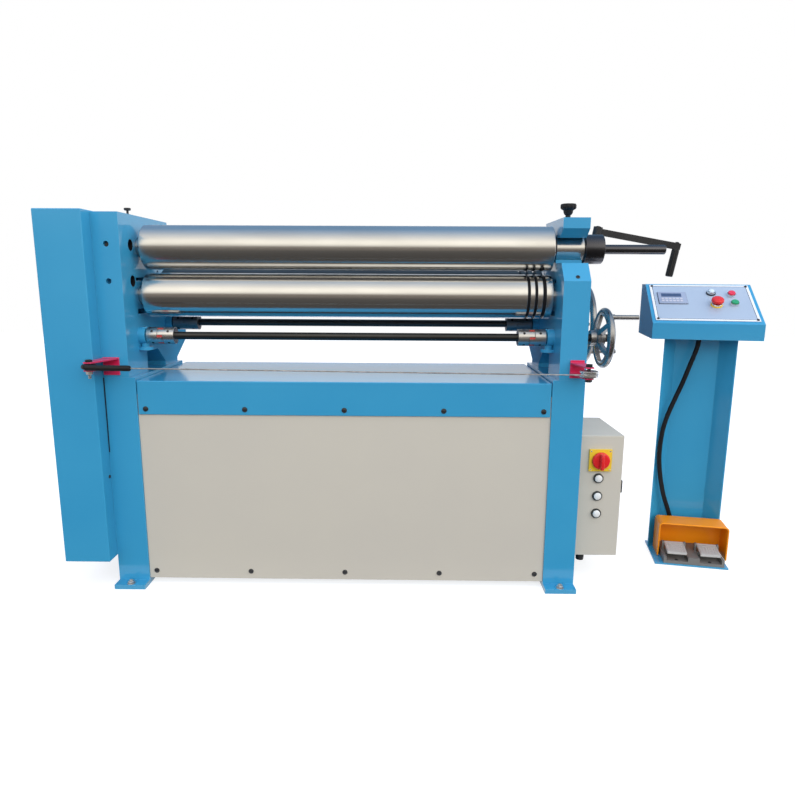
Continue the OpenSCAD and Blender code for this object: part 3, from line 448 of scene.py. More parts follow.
white = add(tree, "ShaderNodeBackground", {"Color": (1, 1, 1, 1), "Strength": 1.0})
add(tree, "ShaderNodeOutputWorld", {0: looked_at(tree, daylight, white)})
scene.world = hall


def studio_finish(name):
    """A new material without a shader, as (material, tree, the socket that a shader feeds)."""
    material = bpy.data.materials.new(name)
    material.use_nodes = True
    tree = material.node_tree
    tree.nodes.remove(tree.nodes["Principled BSDF"])
    return material, tree, tree.nodes["Material Output"].inputs["Surface"]


def staged(name, rows, material):
    """A sheet of the studio, from rows of corners. along runs from 0 at its first row to 1."""
    wide = len(rows[0])
    last = len(rows) - 1
    faces = [
        (r * wide + c, r * wide + c + 1, (r + 1) * wide + c + 1, (r + 1) * wide + c)
        for r in range(last)
        for c in range(wide - 1)
    ]
    mesh = bpy.data.meshes.new(name)
    mesh.from_pydata([corner for row in rows for corner in row], [], faces)
    along = mesh.attributes.new("along", "FLOAT", "POINT")
    for k, value in enumerate(along.data):
        value.value = k // wide / last
    mesh.materials.append(material)
    made = bpy.data.objects.new(name, mesh)
    scene.collection.objects.link(made)
    return made


paper, tree, surface = studio_finish("white floor")
pale = add(tree, "ShaderNodeBsdfDiffuse", {"Color": (0.42, 0.42, 0.42, 1)})
glow = add(tree, "ShaderNodeEmission", {"Color": (1, 1, 1, 1), "Strength": 0.76})
lit_paper = add(tree, "ShaderNodeAddShader", {0: pale.outputs[0], 1: glow.outputs[0]})
concrete = add(tree, "ShaderNodeBsdfDiffuse", {"Color": (0.17, 0.165, 0.16, 1)})
tree.links.new(looked_at(tree, concrete, lit_paper), surface)
floor_half = 9.0
staged("floor", [[(x, y, 0) for x in (-floor_half, floor_half)] for y in (-floor_half, floor_half)], paper)


def card(name, half, edges, stops):
    """A glowing card for polished surfaces alone. edges are (y, z), and stops its colours."""
    material, tree, surface = studio_finish(name)
    along = add(tree, "ShaderNodeAttribute", attribute_name="along").outputs["Fac"]
    colour = ramped(tree, along, stops[0][1], stops[-1][1], stops[1:-1])
    glow = add(tree, "ShaderNodeEmission", {"Color": colour, "Strength": 1.0})
    tree.links.new(glow.outputs[0], surface)
    made = staged(name, [[(-half, y, z), (half, y, z)] for y, z in edges], material)
    made.visible_camera = False
    made.visible_diffuse = False
    made.visible_transmission = False
    made.visible_shadow = False


card(
    "floor_card",
    floor_half,
    ((-0.34, 0.003), (-floor_half, 0.003)),
    ((0.0, (0.075, 0.07, 0.065)), (0.4, (0.1, 0.092, 0.085)), (1.0, (0.2, 0.18, 0.15))),
)
card_half = 7.0
card(
    "rear_card",
    card_half,
    ((3.0, 0.004), (3.0, 1.0)),
    ((0.0, (0.05, 0.055, 0.08)), (1.0, (0.09, 0.1, 0.14))),
)

# The front card goes from just under the horizon over the machine to the rear
card_r = 3.2
card_z = 1.05
card_steps = 38
card_colours = (
    (-9, (0.2, 0.17, 0.145)),
    (4, (0.2, 0.17, 0.145)),
    (12, (1.0, 0.95, 0.84)),
    (20, (1.32, 1.25, 1.1)),
    (33, (1.32, 1.25, 1.12)),
    (44, (1.05, 1.01, 0.93)),
    (56, (0.82, 0.83, 0.84)),
    (68, (0.6, 0.66, 0.72)),
    (80, (0.44, 0.54, 0.68)),
    (95, (0.28, 0.42, 0.6)),
    (110, (0.19, 0.34, 0.54)),
    (162, (0.2, 0.33, 0.5)),
)
card_from = card_colours[0][0]
card_sweep = card_colours[-1][0] - card_from
angles = [math.radians(card_from + card_sweep * step / card_steps) for step in range(card_steps + 1)]
card(
    "front_card",
    card_half,
    [(-card_r * math.cos(angle), card_z + card_r * math.sin(angle)) for angle in angles],
    [((angle - card_from) / card_sweep, colour) for angle, colour in card_colours],
)

# One wide lamp, high at the front, that polished parts don't mirror
key_place = (0.9, -4.4, 2.35)
key_aim = (0, 0, 1.0)
key_size = (7.5, 1.3)
key_radiance = 1.5
key = bpy.data.lights.new("key", "AREA")
key.shape = "RECTANGLE"
key.size, key.size_y = key_size
key.energy = key_radiance * math.pi * key_size[0] * key_size[1]
key.color = (1, 0.985, 0.95)
lamp = bpy.data.objects.new("key", key)
lamp.location = key_place
lamp.rotation_euler = (Vector(key_aim) - lamp.location).to_track_quat("-Z", "Y").to_euler()
lamp.visible_glossy = False
scene.collection.objects.link(lamp)


# --- Stand: legs, beams and table -----------------------------------------------------
# Bent and welded steel plate, sprayed sky blue. The table's cover is one folded sheet,
# held by black dome screws through its apron, and four bolts hold the feet to the floor.

# Sprayed enamel: cloudy tone, orange peel, and a painted highlight along the edges
enamel_skin, given = effect(
    "sprayed enamel",
    {
        "Colour": (0.5, 0.5, 0.5, 1),
        "Cloud Colour": (0.5, 0.5, 0.5, 1),
        "Edge Highlight Colour": (0.6, 0.6, 0.6, 1),
        "Roughness": 0.35,
        "Edge Width": 0.003,
        "Peel Height": 0.00004,
    },
)
where = add(enamel_skin, "ShaderNodeTexCoord").outputs["Object"]
clouds = noise(enamel_skin, where, 2.6, 6.0)
tone = blended(enamel_skin, ranged(enamel_skin, clouds, 0.35, 0.7), given["Colour"], given["Cloud Colour"])
shape = add(enamel_skin, "ShaderNodeNewGeometry").outputs["Normal"]
# Where the Bevel normal turns from the true normal the colour goes paler: a painted highlight along the edges
rounded = add(enamel_skin, "ShaderNodeBevel", {"Radius": given["Edge Width"]}, samples=4).outputs[0]
bend = add(enamel_skin, "ShaderNodeVectorMath", {0: rounded, 1: shape}, operation="DOT_PRODUCT")
painted_edge_highlight = ranged(enamel_skin, bend.outputs["Value"], 0.98, 0.8, 0.0, 0.7)
spread = ranged(enamel_skin, clouds, 0.3, 0.7, -0.03, 0.05)
add(
    enamel_skin,
    "NodeGroupOutput",
    {
        "Colour": blended(enamel_skin, painted_edge_highlight, tone, given["Edge Highlight Colour"]),
        "Roughness": maths(enamel_skin, "ADD", given["Roughness"], spread),
        "Normal": dented(enamel_skin, noise(enamel_skin, where, 330.0, 2.0), given["Peel Height"]),
    },
)


def enamel(name, colour, cloud, edge, roughness, width=0.003, peel=0.00004, **values):
    """A sprayed paint: its colour, its cloudy tone, the paler colour of its painted edge highlight, its
    gloss.
    """
    return finish(name, enamel_skin, (colour, cloud, edge, roughness, width, peel), **values)


blue_paint = enamel(
    "blue enamel",
    (0.036, 0.314, 0.553),
    (0.045, 0.34, 0.575),
    (0.09, 0.42, 0.67),
    0.45,
    Specular_IOR_Level=0.12,
    Coat_Weight=0.9,
    Coat_Roughness=0.12,
)
black_steel = moulded("blackened steel", (0.012, 0.012, 0.014), (0.028, 0.028, 0.03), 0.34, 500.0, 0.00005)


def dress(node, material, rounding=0.0, steps=2, sharp=38):
    """Gives a CAD solid its finish, and rounds its edges where rounding isn't 0."""
    solid = frame["nodes"][node]
    solid.data.materials.clear()
    solid.data.materials.append(material)
    if rounding:
        solid.modifiers.new("join", "WELD").merge_threshold = 0.00002
        flatten = solid.modifiers.new("flatten", "DECIMATE")
        flatten.decimate_type = "DISSOLVE"
        flatten.angle_limit = math.radians(0.5)
        round_off = solid.modifiers.new("round", "BEVEL")
        round_off.width = rounding
        round_off.segments = steps
        round_off.limit_method = "ANGLE"
        round_off.angle_limit = math.radians(sharp)
        round_off.use_clamp_overlap = True
        shade = solid.modifiers.new("shade", "WEIGHTED_NORMAL")
        shade.keep_sharp = True
        shade.weight = 90


for node, rounding in (("legs", 0.002), ("base_beams", 0.002), ("table_cover", 0.004)):
    dress(node, blue_paint, rounding, 3)


def dome_screw(bm, place, direction, radius, height, socket=0.45):
    """Adds a dome-headed screw with a small drive recess."""
    dome = [(math.cos(math.radians(turned)), math.sin(math.radians(turned))) for turned in (30, 45, 60, 75)]
    shares = [(1, 0.25), *dome, (socket * 0.55, 0.98), (socket * 0.5, 0.45), (0, 0.4)]
    profile = [(radius, -0.001), *((radius * wide, height * up) for wide, up in shares)]
    turn(bm, profile, facing(direction, place), 20)


def hex_bolt(bm, place, direction, across, height, washer=0.0, spin=0.0, washer_t=0.0022):
    """Adds a bolt head or nut with chamfered corners, on a washer where one is given."""
    at = facing(direction, place) @ Matrix.Rotation(spin, 4, "Z")
    corner = across / math.sqrt(3)
    lift = washer_t if washer else 0.0
    head = [(0.96, 0), (1, 0.12), (1, 0.85), (0.88, 1), (0, 1)]
    turn(bm, [(corner * wide, lift + height * up) for wide, up in head], at, 6)
    if washer:
        rim = [(washer / 2, 0), (washer / 2, washer_t * 0.8), (washer / 2 - 0.0005, washer_t)]
        turn(bm, [*rim, (corner * 0.7, washer_t)], at, 24)


def stud(bm, at, radius, length, narrowed, chamfer, sides=16):
    """Adds a bolt's plain end, narrowed over a chamfer at its tip."""
    tip = radius - narrowed
    turn(bm, [(radius, 0), (radius, length - chamfer), (tip, length), (0, length)], at, sides)


forward = (0, -1, 0)
upward = (0, 0, 1)
apron_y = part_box("table_cover")[0][1]
apron_screw_z = 0.5935
sheet_screw_r = 0.0085
sheet_screw_h = 0.005
bm = bmesh.new()
for x in (-0.624, -0.311, 0.002, 0.314, 0.626):
    dome_screw(bm, (x, apron_y, apron_screw_z), forward, sheet_screw_r, sheet_screw_h)
piece("apron_screws", bm, black_steel, "machine")

foot_x = 0.7
foot_y = 0.2385
foot_t = 0.015
bm = bmesh.new()
for x, spin in ((-foot_x, 40), (foot_x, 12)):
    for y in (-foot_y, foot_y):
        foot = (x, y, foot_t)
        hex_bolt(bm, foot, upward, across=0.018, height=0.0075, washer=0.026, spin=math.radians(spin))
        stud(bm, facing(upward, foot), radius=0.005, length=0.0135, narrowed=0.001, chamfer=0.0015)
piece("floor_bolts", bm, galvanised, "machine")


# --- Base panels ----------------------------------------------------------------------
# Two flat sheets, powder coated beige-grey, that close the stand at the front and the
# back. Each is held along its foot by five black dome screws.

beige_paint = enamel(
    "beige powder coat",
    (0.60, 0.558, 0.468),
    (0.575, 0.535, 0.455),
    (0.66, 0.63, 0.56),
    0.5,
    peel=0.00007,
    Coat_Weight=0.1,
    Coat_Roughness=0.35,
)
dress("base_panels", beige_paint, 0.001, 2)

panel_front, panel_back = (corner[1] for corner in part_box("base_panels"))
panel_screw_z = 0.046
rearward = (0, 1, 0)
bm = bmesh.new()
for x in (-0.626, -0.313, -0.002, 0.309, 0.622):
    dome_screw(bm, (x, panel_front, panel_screw_z), forward, sheet_screw_r, sheet_screw_h)
    dome_screw(bm, (x, panel_back, panel_screw_z), rearward, sheet_screw_r, sheet_screw_h)
piece("panel_screws", bm, black_steel, "machine")


# --- Side frames ----------------------------------------------------------------------
# Two 82 mm thick welded plate housings bolted on the stand, their front corners planed
# off at 45 degrees. The left one carries a sheet guard over its gears.

for node in ("left_frame", "right_frame", "gear_guard"):
    dress(node, blue_paint, 0.003, 3)

frame_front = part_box("left_frame")[0][1]
frame_mid = -0.709
upper_z = 1.095
lower_z = 0.9446
hole_screw_r = 0.0079

# Socket screws sunk in the two front holes, and one in the right frame's bevel
bm = bmesh.new()
for z in (upper_z, lower_z):
    at = facing(forward, (frame_mid, frame_front + 0.016, z))
    turn(bm, [(hole_screw_r, 0), (hole_screw_r, 0.008), (0.0072, 0.0095), (0.0045, 0.0095)], at, 24)
    turn(bm, [(0.0045, 0.0094), (0.0045, 0.004), (0, 0.004)], at, 6)
piece("set_screws", bm, black_steel, "machine")

bm = bmesh.new()
dome_screw(bm, (0.7114, -0.2026, 1.0079), (0, -0.768, 0.640), radius=0.0064, height=0.003, socket=0.6)
piece("bevel_screw", bm, black_steel, "machine")

# Black linings in the access holes of the left frame's inner face, painted shade for the dark inside of the
# holes
inner_face = -0.668
access_y = -0.1345
access_r = 0.0178
access_depth = 0.04
lip = 0.0005
wall = 0.001
leftward = (-1, 0, 0)
bm = bmesh.new()
for z in (upper_z + 0.004, lower_z + 0.044):
    turn(
        bm,
        [
            (0, access_depth - wall),
            (access_r - wall, access_depth - wall),
            (access_r - wall, lip),
            (access_r, lip),
            (access_r, access_depth),
            (0, access_depth),
        ],
        facing(leftward, (inner_face, access_y, z)),
        40,
    )
piece("access_hole_shade", bm, black_rubber, "machine")

# A black strip in the gap between the gear guard and the left leg, painted shadow of that gap, and the screw
# below it
guard_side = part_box("gear_guard")[1][0]
gap_shadow_foot = Vector((guard_side + 0.0012, frame_front - 0.0005, 0.452))
rightward = (1, 0, 0)
bm = bmesh.new()
turn(bm, [(0.0016, 0), (0.0022, 0.24), (0, 0.241)], Matrix.Translation(gap_shadow_foot), 8)
piece("guard_gap_shadow", bm, black_rubber, "machine")
bm = bmesh.new()
dome_screw(bm, (guard_side, frame_front - 0.012, 0.374), rightward, radius=0.006, height=0.003)
piece("guard_screw", bm, black_steel, "machine")


# --- Rolls ----------------------------------------------------------------------------
# Three bending rolls of forged steel, ground on their journals and barrels, which leaves
# fine rings. The two lower rolls have three wire grooves at the right, and the rear one
# is given a darker, duller copy of the steel.

ground_lines = (1500.0, 4.0, 4.0)
ground_patches = (2.2, 9.0, 9.0)
ground_steel = turned_steel(
    "ground roll steel", (0.76, 0.755, 0.74), (0.64, 0.63, 0.61), 0.12, ground_lines, ground_patches, 0.00003
)
dress("upper_roll", ground_steel, 0.0018, 3)
dress("lower_roll", ground_steel, 0.0007, 2)
dark_roll_steel = turned_steel(
    "dark roll steel", (0.13, 0.127, 0.12), (0.08, 0.078, 0.074), 0.36, ground_lines, ground_patches, 0.00003
)
dress("rear_roll", dark_roll_steel, 0.0007, 2)

# Black rings darken the bottoms of the wire grooves
roll_r = 0.07
grooves = ((0.629, 0.0055), (0.603, 0.0045), (0.58, 0.0045))
dark_ring_t = 0.0003
for name in ("lower", "rear"):
    centre = Vector(joints[name + "_roll_spin"]["pos_m"])
    bm = bmesh.new()
    for x, groove_r in grooves:
        under = roll_r - groove_r - 0.001
        profile = [(under, -groove_r * 0.98)]
        for degrees in range(-80, 81, 20):
            angle = math.radians(degrees)
            dark_ring_r = groove_r - dark_ring_t
            profile.append((roll_r - dark_ring_r * math.cos(angle), dark_ring_r * math.sin(angle)))
        profile.append((under, groove_r * 0.98))
        turn(bm, profile, facing(rightward, (x, centre.y, centre.z)), 96)
    piece(name + "_groove_dark_rings", bm, black_rubber, name + "_roll_body", 60)


# --- Bearing blocks and lifting drive -------------------------------------------------
# Cast blocks slide in the frames and carry the lower rolls. A worm box under each block
# is driven by a cross shaft through jaw couplings with red rubber spiders.

dress("lower_blocks", blue_paint, 0.0015)
dress("rear_blocks", blue_paint, 0.0015)
dress("screw_jacks", blue_paint)

lathe_lines = (500.0, 5.0, 5.0)
dark_bar = turned_steel("oiled bar", (0.09, 0.088, 0.085), (0.05, 0.05, 0.05), 0.3, (700.0, 5.0, 5.0))
dress("front_shaft", dark_bar, 0.001)
dress("rear_shaft", dark_bar, 0.001)
coupling_steel = turned_steel("turned coupling", (0.74, 0.73, 0.72), (0.55, 0.55, 0.54), 0.2, lathe_lines)
# A darker copy of the coupling steel for the rear couplings: painted shade, as they sit in the shadow behind
# the rolls
shaded_coupling = turned_steel("shaded coupling", (0.34, 0.345, 0.35), (0.2, 0.2, 0.21), 0.3, lathe_lines)
red_rubber = moulded("red elastomer", (0.55, 0.035, 0.03), (0.6, 0.08, 0.06), 0.45)
dress("front_couplings", coupling_steel, 0.0012)
dress("rear_couplings", shaded_coupling, 0.0012)
dress("front_spiders", red_rubber, 0.0008)

# Set screws of the coupling hubs, sunk in their sides
coupling_r = 0.027
shafts = {"front": (-0.1025, 0.815), "rear": (0.1405, 0.842)}
for name, (shaft_y, shaft_z) in shafts.items():
    bm = bmesh.new()
    for x in (-0.624, -0.572, 0.572, 0.624):
        for degrees in (35, 125, 215, 305):
            out = Vector((0, -math.cos(math.radians(degrees)), math.sin(math.radians(degrees))))
            at = facing(out, Vector((x, shaft_y, shaft_z)) + out * (coupling_r - 0.002))
            turn(bm, [(0.0042, 0), (0.0042, 0.0022), (0.0036, 0.0026), (0.0022, 0.0026)], at, 16)
            turn(bm, [(0.0022, 0.0026), (0.0022, 0.001), (0, 0.001)], at, 6)
    piece(name + "_hub_screws", bm, black_steel, name + "_drive")


# --- Handwheels -----------------------------------------------------------------------
# Cast, turned and polished wheels with five spokes and a bright turned handle, keyed on
# the cross shafts' right ends and held by a nut.

polished = turned_steel(
    "polished wheel", (0.47, 0.47, 0.48), (0.3, 0.3, 0.31), 0.2, (300.0, 30.0, 30.0), (14.0, 14.0, 14.0)
)
wheel_face = 0.835
for name, (shaft_y, shaft_z) in shafts.items():
    dress(name + "_handwheel", polished, 0.002, 3, 50)
    bm = bmesh.new()
    at = facing(rightward, (wheel_face, shaft_y, shaft_z))
    hex_bolt(bm, (wheel_face - 0.002, shaft_y, shaft_z), rightward, across=0.024, height=0.011, washer=0.03)
    stud(bm, at, radius=0.0068, length=0.018, narrowed=0.0013, chamfer=0.0015, sides=20)
    piece(name + "_wheel_nut", bm, black_steel, name + "_drive")


# --- Bearing cap and clamp crank ------------------------------------------------------
# The upper roll's right bearing cap, a welded blue box hinged at the rear so that a
# rolled ring slips off. The crank's screw clamps its nose down on the frame.

dress("bearing_cap", blue_paint, 0.0025, 3)
oiled_bar = turned_steel("blackened bar", (0.14, 0.14, 0.155), (0.05, 0.05, 0.058), 0.19, lathe_lines)
dress("lift_bar", oiled_bar, 0.003, 3)
dress("clamp_crank", black_steel, 0.0012, 2)


def fluted(bm, at, rows, radius, length, flutes):
    """Adds a fluted grip. Rows give its radius, its height and its flutes' depth as shares."""
    rings = []
    for wide, up, depth in rows:
        ring = []
        for k in range(flutes * 6):
            angle = 2 * math.pi * k / (flutes * 6)
            reach = radius * (wide - depth * (0.5 - 0.5 * math.cos(flutes * angle)) ** 2)
            ring.append(at @ spoke(reach, angle, up * length))
        rings.append(ring)
    loft(bm, rings)


# The cap's oil cup has a stem, and a ribbed knob that flares to a flat top
cup_low, cup_high = map(Vector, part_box("cap_oil_cup"))
cup_mid = (cup_low + cup_high) / 2
cup_at = Matrix.Translation((cup_mid.x, cup_mid.y, cup_low.z))
cup_h = cup_high.z - cup_low.z
cup_r = (cup_high.x - cup_low.x) / 2
stem_r = cup_r * 0.42
bm = bmesh.new()
stem = [(stem_r * 0.8, 0), (stem_r * 0.8, cup_h * 0.3), (stem_r, cup_h * 0.34), (stem_r, cup_h * 0.4)]
turn(bm, stem, cup_at, 6)
fluted(
    bm,
    cup_at,
    (
        (0.46, 0.34, 0.0),
        (0.58, 0.46, 0.04),
        (0.62, 0.6, 0.06),
        (0.94, 0.7, 0.1),
        (1.0, 0.76, 0.12),
        (1.0, 0.93, 0.12),
        (0.92, 1.0, 0.08),
        (0.6, 0.985, 0.0),
    ),
    cup_r,
    cup_h,
    10,
)
cup = piece("cap_oiler", bm, black_plastic, "cap")
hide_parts("cap_oil_cup")

cup_low, cup_high = map(Vector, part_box("frame_oil_cup"))
cup_mid = (cup_low + cup_high) / 2
bm = bmesh.new()
turn(
    bm,
    [
        (0.0052, 0),
        (0.0052, 0.003),
        (0.0036, 0.004),
        (0.0036, 0.0155),
        (0.0085, 0.0165),
        (0.0105, 0.0175),
        (0.0105, 0.0228),
        (0.0095, 0.024),
        (0, 0.024),
    ],
    Matrix.Translation((cup_mid.x, cup_mid.y, cup_low.z)),
    28,
)
cup = piece("frame_oiler", bm, black_steel, "machine")
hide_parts("frame_oil_cup")

# The grip turns loose on the crank's end, and is fluted along for the fingers
crank_up = Vector(joints["crank_turn"]["axis"])
crank_out = Vector((crank_up.z, 0, -crank_up.x))
crank = Matrix.Translation(joints["crank_turn"]["pos_m"]) @ (
    Matrix((crank_out, crank_up.cross(crank_out), crank_up)).transposed().to_4x4()
)
crank_len = 0.268
arm_h = 0.021
grip_len = 0.0884
grip_r = 0.0121
bm = bmesh.new()
fluted(
    bm,
    crank @ Matrix.Translation((crank_len, 0, -arm_h / 2 - 0.0006)),
    (
        (0.5, 0.0, 0.0),
        (0.86, 0.0, 0.0),
        (0.97, 0.02, 0.02),
        (1.0, 0.06, 0.07),
        (1.0, 0.5, 0.07),
        (1.0, 0.93, 0.07),
        (0.96, 0.97, 0.02),
        (0.84, 1.0, 0.0),
        (0.4, 1.0, 0.0),
    ),
    grip_r,
    -grip_len,
    12,
)
piece("crank_grip", bm, black_plastic, "crank", 50)

# Rivet head of the grip's pin on the arm, and the clamp screw's domed end
rivet = [(0.007, -0.0005), (0.007, 0.0012), (0.0055, 0.003), (0.0025, 0.0038), (0, 0.004)]
screw_end = [(0.0095, -0.0005), (0.0095, 0.0005), (0.0075, 0.0022), (0.004, 0.0032), (0, 0.0035)]
bm = bmesh.new()
turn(bm, rivet, crank @ Matrix.Translation((crank_len, 0, arm_h / 2)), 24)
turn(bm, screw_end, crank @ Matrix.Translation((0, 0, arm_h / 2 + 0.004)), 24)
piece("crank_rivets", bm, dark_bar, "crank")


# --- Rope forks, pulley and switch ----------------------------------------------------
# Crimson sheet forks bolted to the legs, each a web with two cheeks. The left one holds
# the rope's eye in its black sleeve, the right one a turned pulley on a bolt.

crimson = enamel(
    "crimson enamel",
    (0.60, 0.010, 0.075),
    (0.66, 0.02, 0.10),
    (0.80, 0.16, 0.30),
    0.34,
    0.002,
    Specular_IOR_Level=0.3,
    Coat_Weight=0.25,
    Coat_Roughness=0.2,
)
bright = turned_steel(
    "bright steel", (0.7, 0.7, 0.7), (0.55, 0.55, 0.55), 0.2, (240.0, 240.0, 240.0), (30.0, 30.0, 30.0)
)
dress("rope_pulley", bright, 0.0012, 2)

leg_front = -0.2125
sheet_t = 0.004
web_up = 0.0275
cheek_half = 0.012
cheek_tip = rope_y - 0.010
cheek_foot = leg_front - 0.001
fork_bolt_r = 0.005
fork_washer_t = 0.0012
left_upper, left_lower = rope_z + rope_rise + 0.010, rope_z + rope_rise - 0.0135
right_upper, right_lower = rope_z + 0.0165, rope_z - 0.016


def sheet(bm, edges, low, high):
    """Adds a flat sheet between two heights, from the left and right ends of its two edges."""
    (near_left, near_right, near), (far_left, far_right, far) = edges
    outline = [(near_left, near), (near_right, near), (far_right, far), (far_left, far)]
    loft(bm, [[(x, y, z) for x, y in outline] for z in (low, high)])


crimson_sheets = bmesh.new()
nuts = bmesh.new()
for web_x, web_half, bolt_x, upper_cheek, lower_cheek, nut_h, ends in (
    (-0.720, 0.025, left_bolt_x, left_upper, left_lower, 0.0055, (1,)),
    (0.7215, 0.0215, pulley_x, right_upper, right_lower, 0.0072, (1, -1)),
):
    web = (web_x - web_half, web_x + web_half)
    cheek = (bolt_x - cheek_half, bolt_x + cheek_half, cheek_tip)
    sheet(crimson_sheets, ((*web, leg_front - sheet_t), (*web, leg_front)), rope_z - web_up, rope_z + web_up)
    for low in (upper_cheek, lower_cheek):
        sheet(crimson_sheets, (cheek, (*web, cheek_foot)), low, low + sheet_t)
    bolt_at = Matrix.Translation((bolt_x, rope_y, 0))
    turn(nuts, [(fork_bolt_r, lower_cheek + 0.001), (fork_bolt_r, upper_cheek + sheet_t)], bolt_at, 20)
    for end in ends:
        place = (bolt_x, rope_y, upper_cheek + sheet_t if end > 0 else lower_cheek)
        at = facing((0, 0, end), place)
        hex_bolt(nuts, place, (0, 0, end), 0.0182, nut_h, washer=0.0215, spin=0.2, washer_t=fork_washer_t)
        stud(nuts, at, fork_bolt_r, length=nut_h + 0.0016, narrowed=0.0008, chamfer=0.0008)
brackets = piece("rope_forks", crimson_sheets, crimson, "machine")
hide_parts("rope_brackets")
piece("fork_nuts", nuts, black_steel, "machine")

# The left bolt is longer, bright and threaded below its nut
bolt_foot = (left_bolt_x, rope_y, left_lower)
bolt_len = 0.0223
nut_top = 0.0098
pitch = 0.0015
downward = (0, 0, -1)
bm = bmesh.new()
hex_bolt(bm, bolt_foot, downward, 0.0172, 0.0085, washer=0.02, spin=0.3, washer_t=fork_washer_t)
profile = [(0.0048, 0)]
for ridge in range(8):
    height = nut_top + ridge * pitch
    profile += [(0.0043, height), (0.0049, height + pitch / 2)]
profile += [(0.0042, bolt_len), (0, bolt_len)]
turn(bm, profile, facing(downward, bolt_foot), 20)
piece("sleeve_bolt", bm, bright, "machine", 25)

# The rope's eye runs round the bolt under a black sleeve
eye_r = 0.0145
route = [Vector((left_bolt_x + 0.004, rope_y - turn_r, rope_z + rope_rise))]
for turned in range(-90, -451, -15):
    route.append(Vector((left_bolt_x, rope_y, rope_z + rope_rise)) + spoke(eye_r, math.radians(turned)))
bm = bmesh.new()
thread(bm, route, 0.0078, 16)
piece("rope_eye", bm, black_plastic, "machine")

yellow_plastic = moulded(
    "yellow plastic", (0.86, 0.56, 0.012), (0.88, 0.6, 0.05), 0.33, 700.0, 0.00005, Coat_Weight=0.2
)
dress("rope_switch", yellow_plastic, 0.003, 3)


def bar(bm, size, at, rounding, steps, narrow=1.0):
    """Adds a bar about the middle of its foot, its edges rounded, its top narrowed."""
    made = bmesh.ops.create_cube(bm, size=1)["verts"]
    for corner in made:
        pinch = narrow if corner.co.z > 0 else 1.0
        x, y, z = corner.co
        corner.co = Vector((x * size[0] * pinch, y * size[1], (z + 0.5) * size[2]))
    edges = list(dict.fromkeys(edge for corner in made for edge in corner.link_edges))
    rounded = bmesh.ops.bevel(
        bm, geom=edges, offset=rounding, segments=steps, affect="EDGES", profile=0.5, clamp_overlap=True
    )
    for corner in {vert for face in rounded["faces"] for vert in face.verts}:
        corner.co = at @ corner.co


switch_low, switch_high = map(Vector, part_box("rope_switch"))
lid_at = Vector((switch_high.x, *((switch_low + switch_high) / 2).yz))
bm = bmesh.new()
bar(bm, (0.084, 0.064, 0.004), facing(rightward, lid_at), 0.0016, 3)
piece("rope_switch_lid", bm, yellow_plastic, "machine")
bm = bmesh.new()
for y in (-0.034, 0.034):
    for z in (-0.025, 0.025):
        dome_screw(bm, lid_at + Vector((0.0038, y, z)), rightward, radius=0.0035, height=0.002)
plunger = [(0.0085, 0), (0.0085, 0.008), (0.0065, 0.0095), (0.005, 0.016), (0.0026, 0.018)]
turn(bm, plunger, facing(forward, (pulley_x + turn_r, switch_low.y, rope_z)), 24)
piece("rope_switch_fittings", bm, black_steel, "machine")


# --- Electric cabinet -----------------------------------------------------------------
# A welded beige sheet box screwed to the right leg. Its side door has a black latch, and
# its front carries the yellow and red main switch above three white pilot lamps.

dress("cabinet", beige_paint, 0.0022, 3)
cabinet_low, cabinet_high = map(Vector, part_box("cabinet"))
cabinet_size = cabinet_high - cabinet_low
door_at = Vector((cabinet_high.x, *((cabinet_low + cabinet_high) / 2).yz))
bm = bmesh.new()
bar(bm, (cabinet_size.y - 0.012, cabinet_size.z - 0.016, 0.0016), facing(rightward, door_at), 0.0007, 2)
piece("cabinet_door", bm, beige_paint, "machine")

hinge_r = 0.0045
hinge_len = 0.04
bm = bmesh.new()
for z in (0.17, 0.41):
    hinge_at = Matrix.Translation((cabinet_high.x + 0.0035, cabinet_high.y - 0.004, z))
    leaf_at = facing(rightward, (cabinet_high.x, cabinet_high.y - 0.018, z + hinge_len / 2))
    turn(bm, [(hinge_r, 0), (hinge_r, hinge_len), (0, hinge_len)], hinge_at, 16)
    bar(bm, (0.024, 0.03, 0.0028), leaf_at, 0.0008, 1)
piece("door_hinges", bm, black_plastic, "machine")

# A ribbed cable gland under the cabinet
dress("cabinet_fittings", black_plastic, 0.0015, 3)
under = facing(downward, (0.795, -0.1125, cabinet_low.z))
rib_pitch = 0.003
bm = bmesh.new()
turn(bm, [(0.0165, -0.0005), (0.0165, 0.005), (0.0155, 0.0062), (0.0125, 0.0062)], under, 6)
profile = [(0.0131, 0.006)]
for rib in range(4):
    profile += [(0.0137, 0.008 + rib * rib_pitch), (0.0132, 0.0095 + rib * rib_pitch)]
profile += [(0.0134, 0.021), (0.0115, 0.0258), (0.0088, 0.0268), (0.0074, 0.0262)]
turn(bm, profile, under, 32)
piece("gland_nut", bm, black_plastic, "machine")

dress("switch_plate", yellow_plastic, 0.003, 3)
knob_at = facing(forward, joints["main_switch_turn"]["pos_m"])
plate_h = 0.008
knob_r = 0.0285
knob_h = 0.0125


def glossy(name, colour, pale):
    """A smooth, shining button plastic."""
    return moulded(name, colour, pale, 0.26, 500.0, 0.00004, Coat_Weight=0.3, Coat_Roughness=0.1)


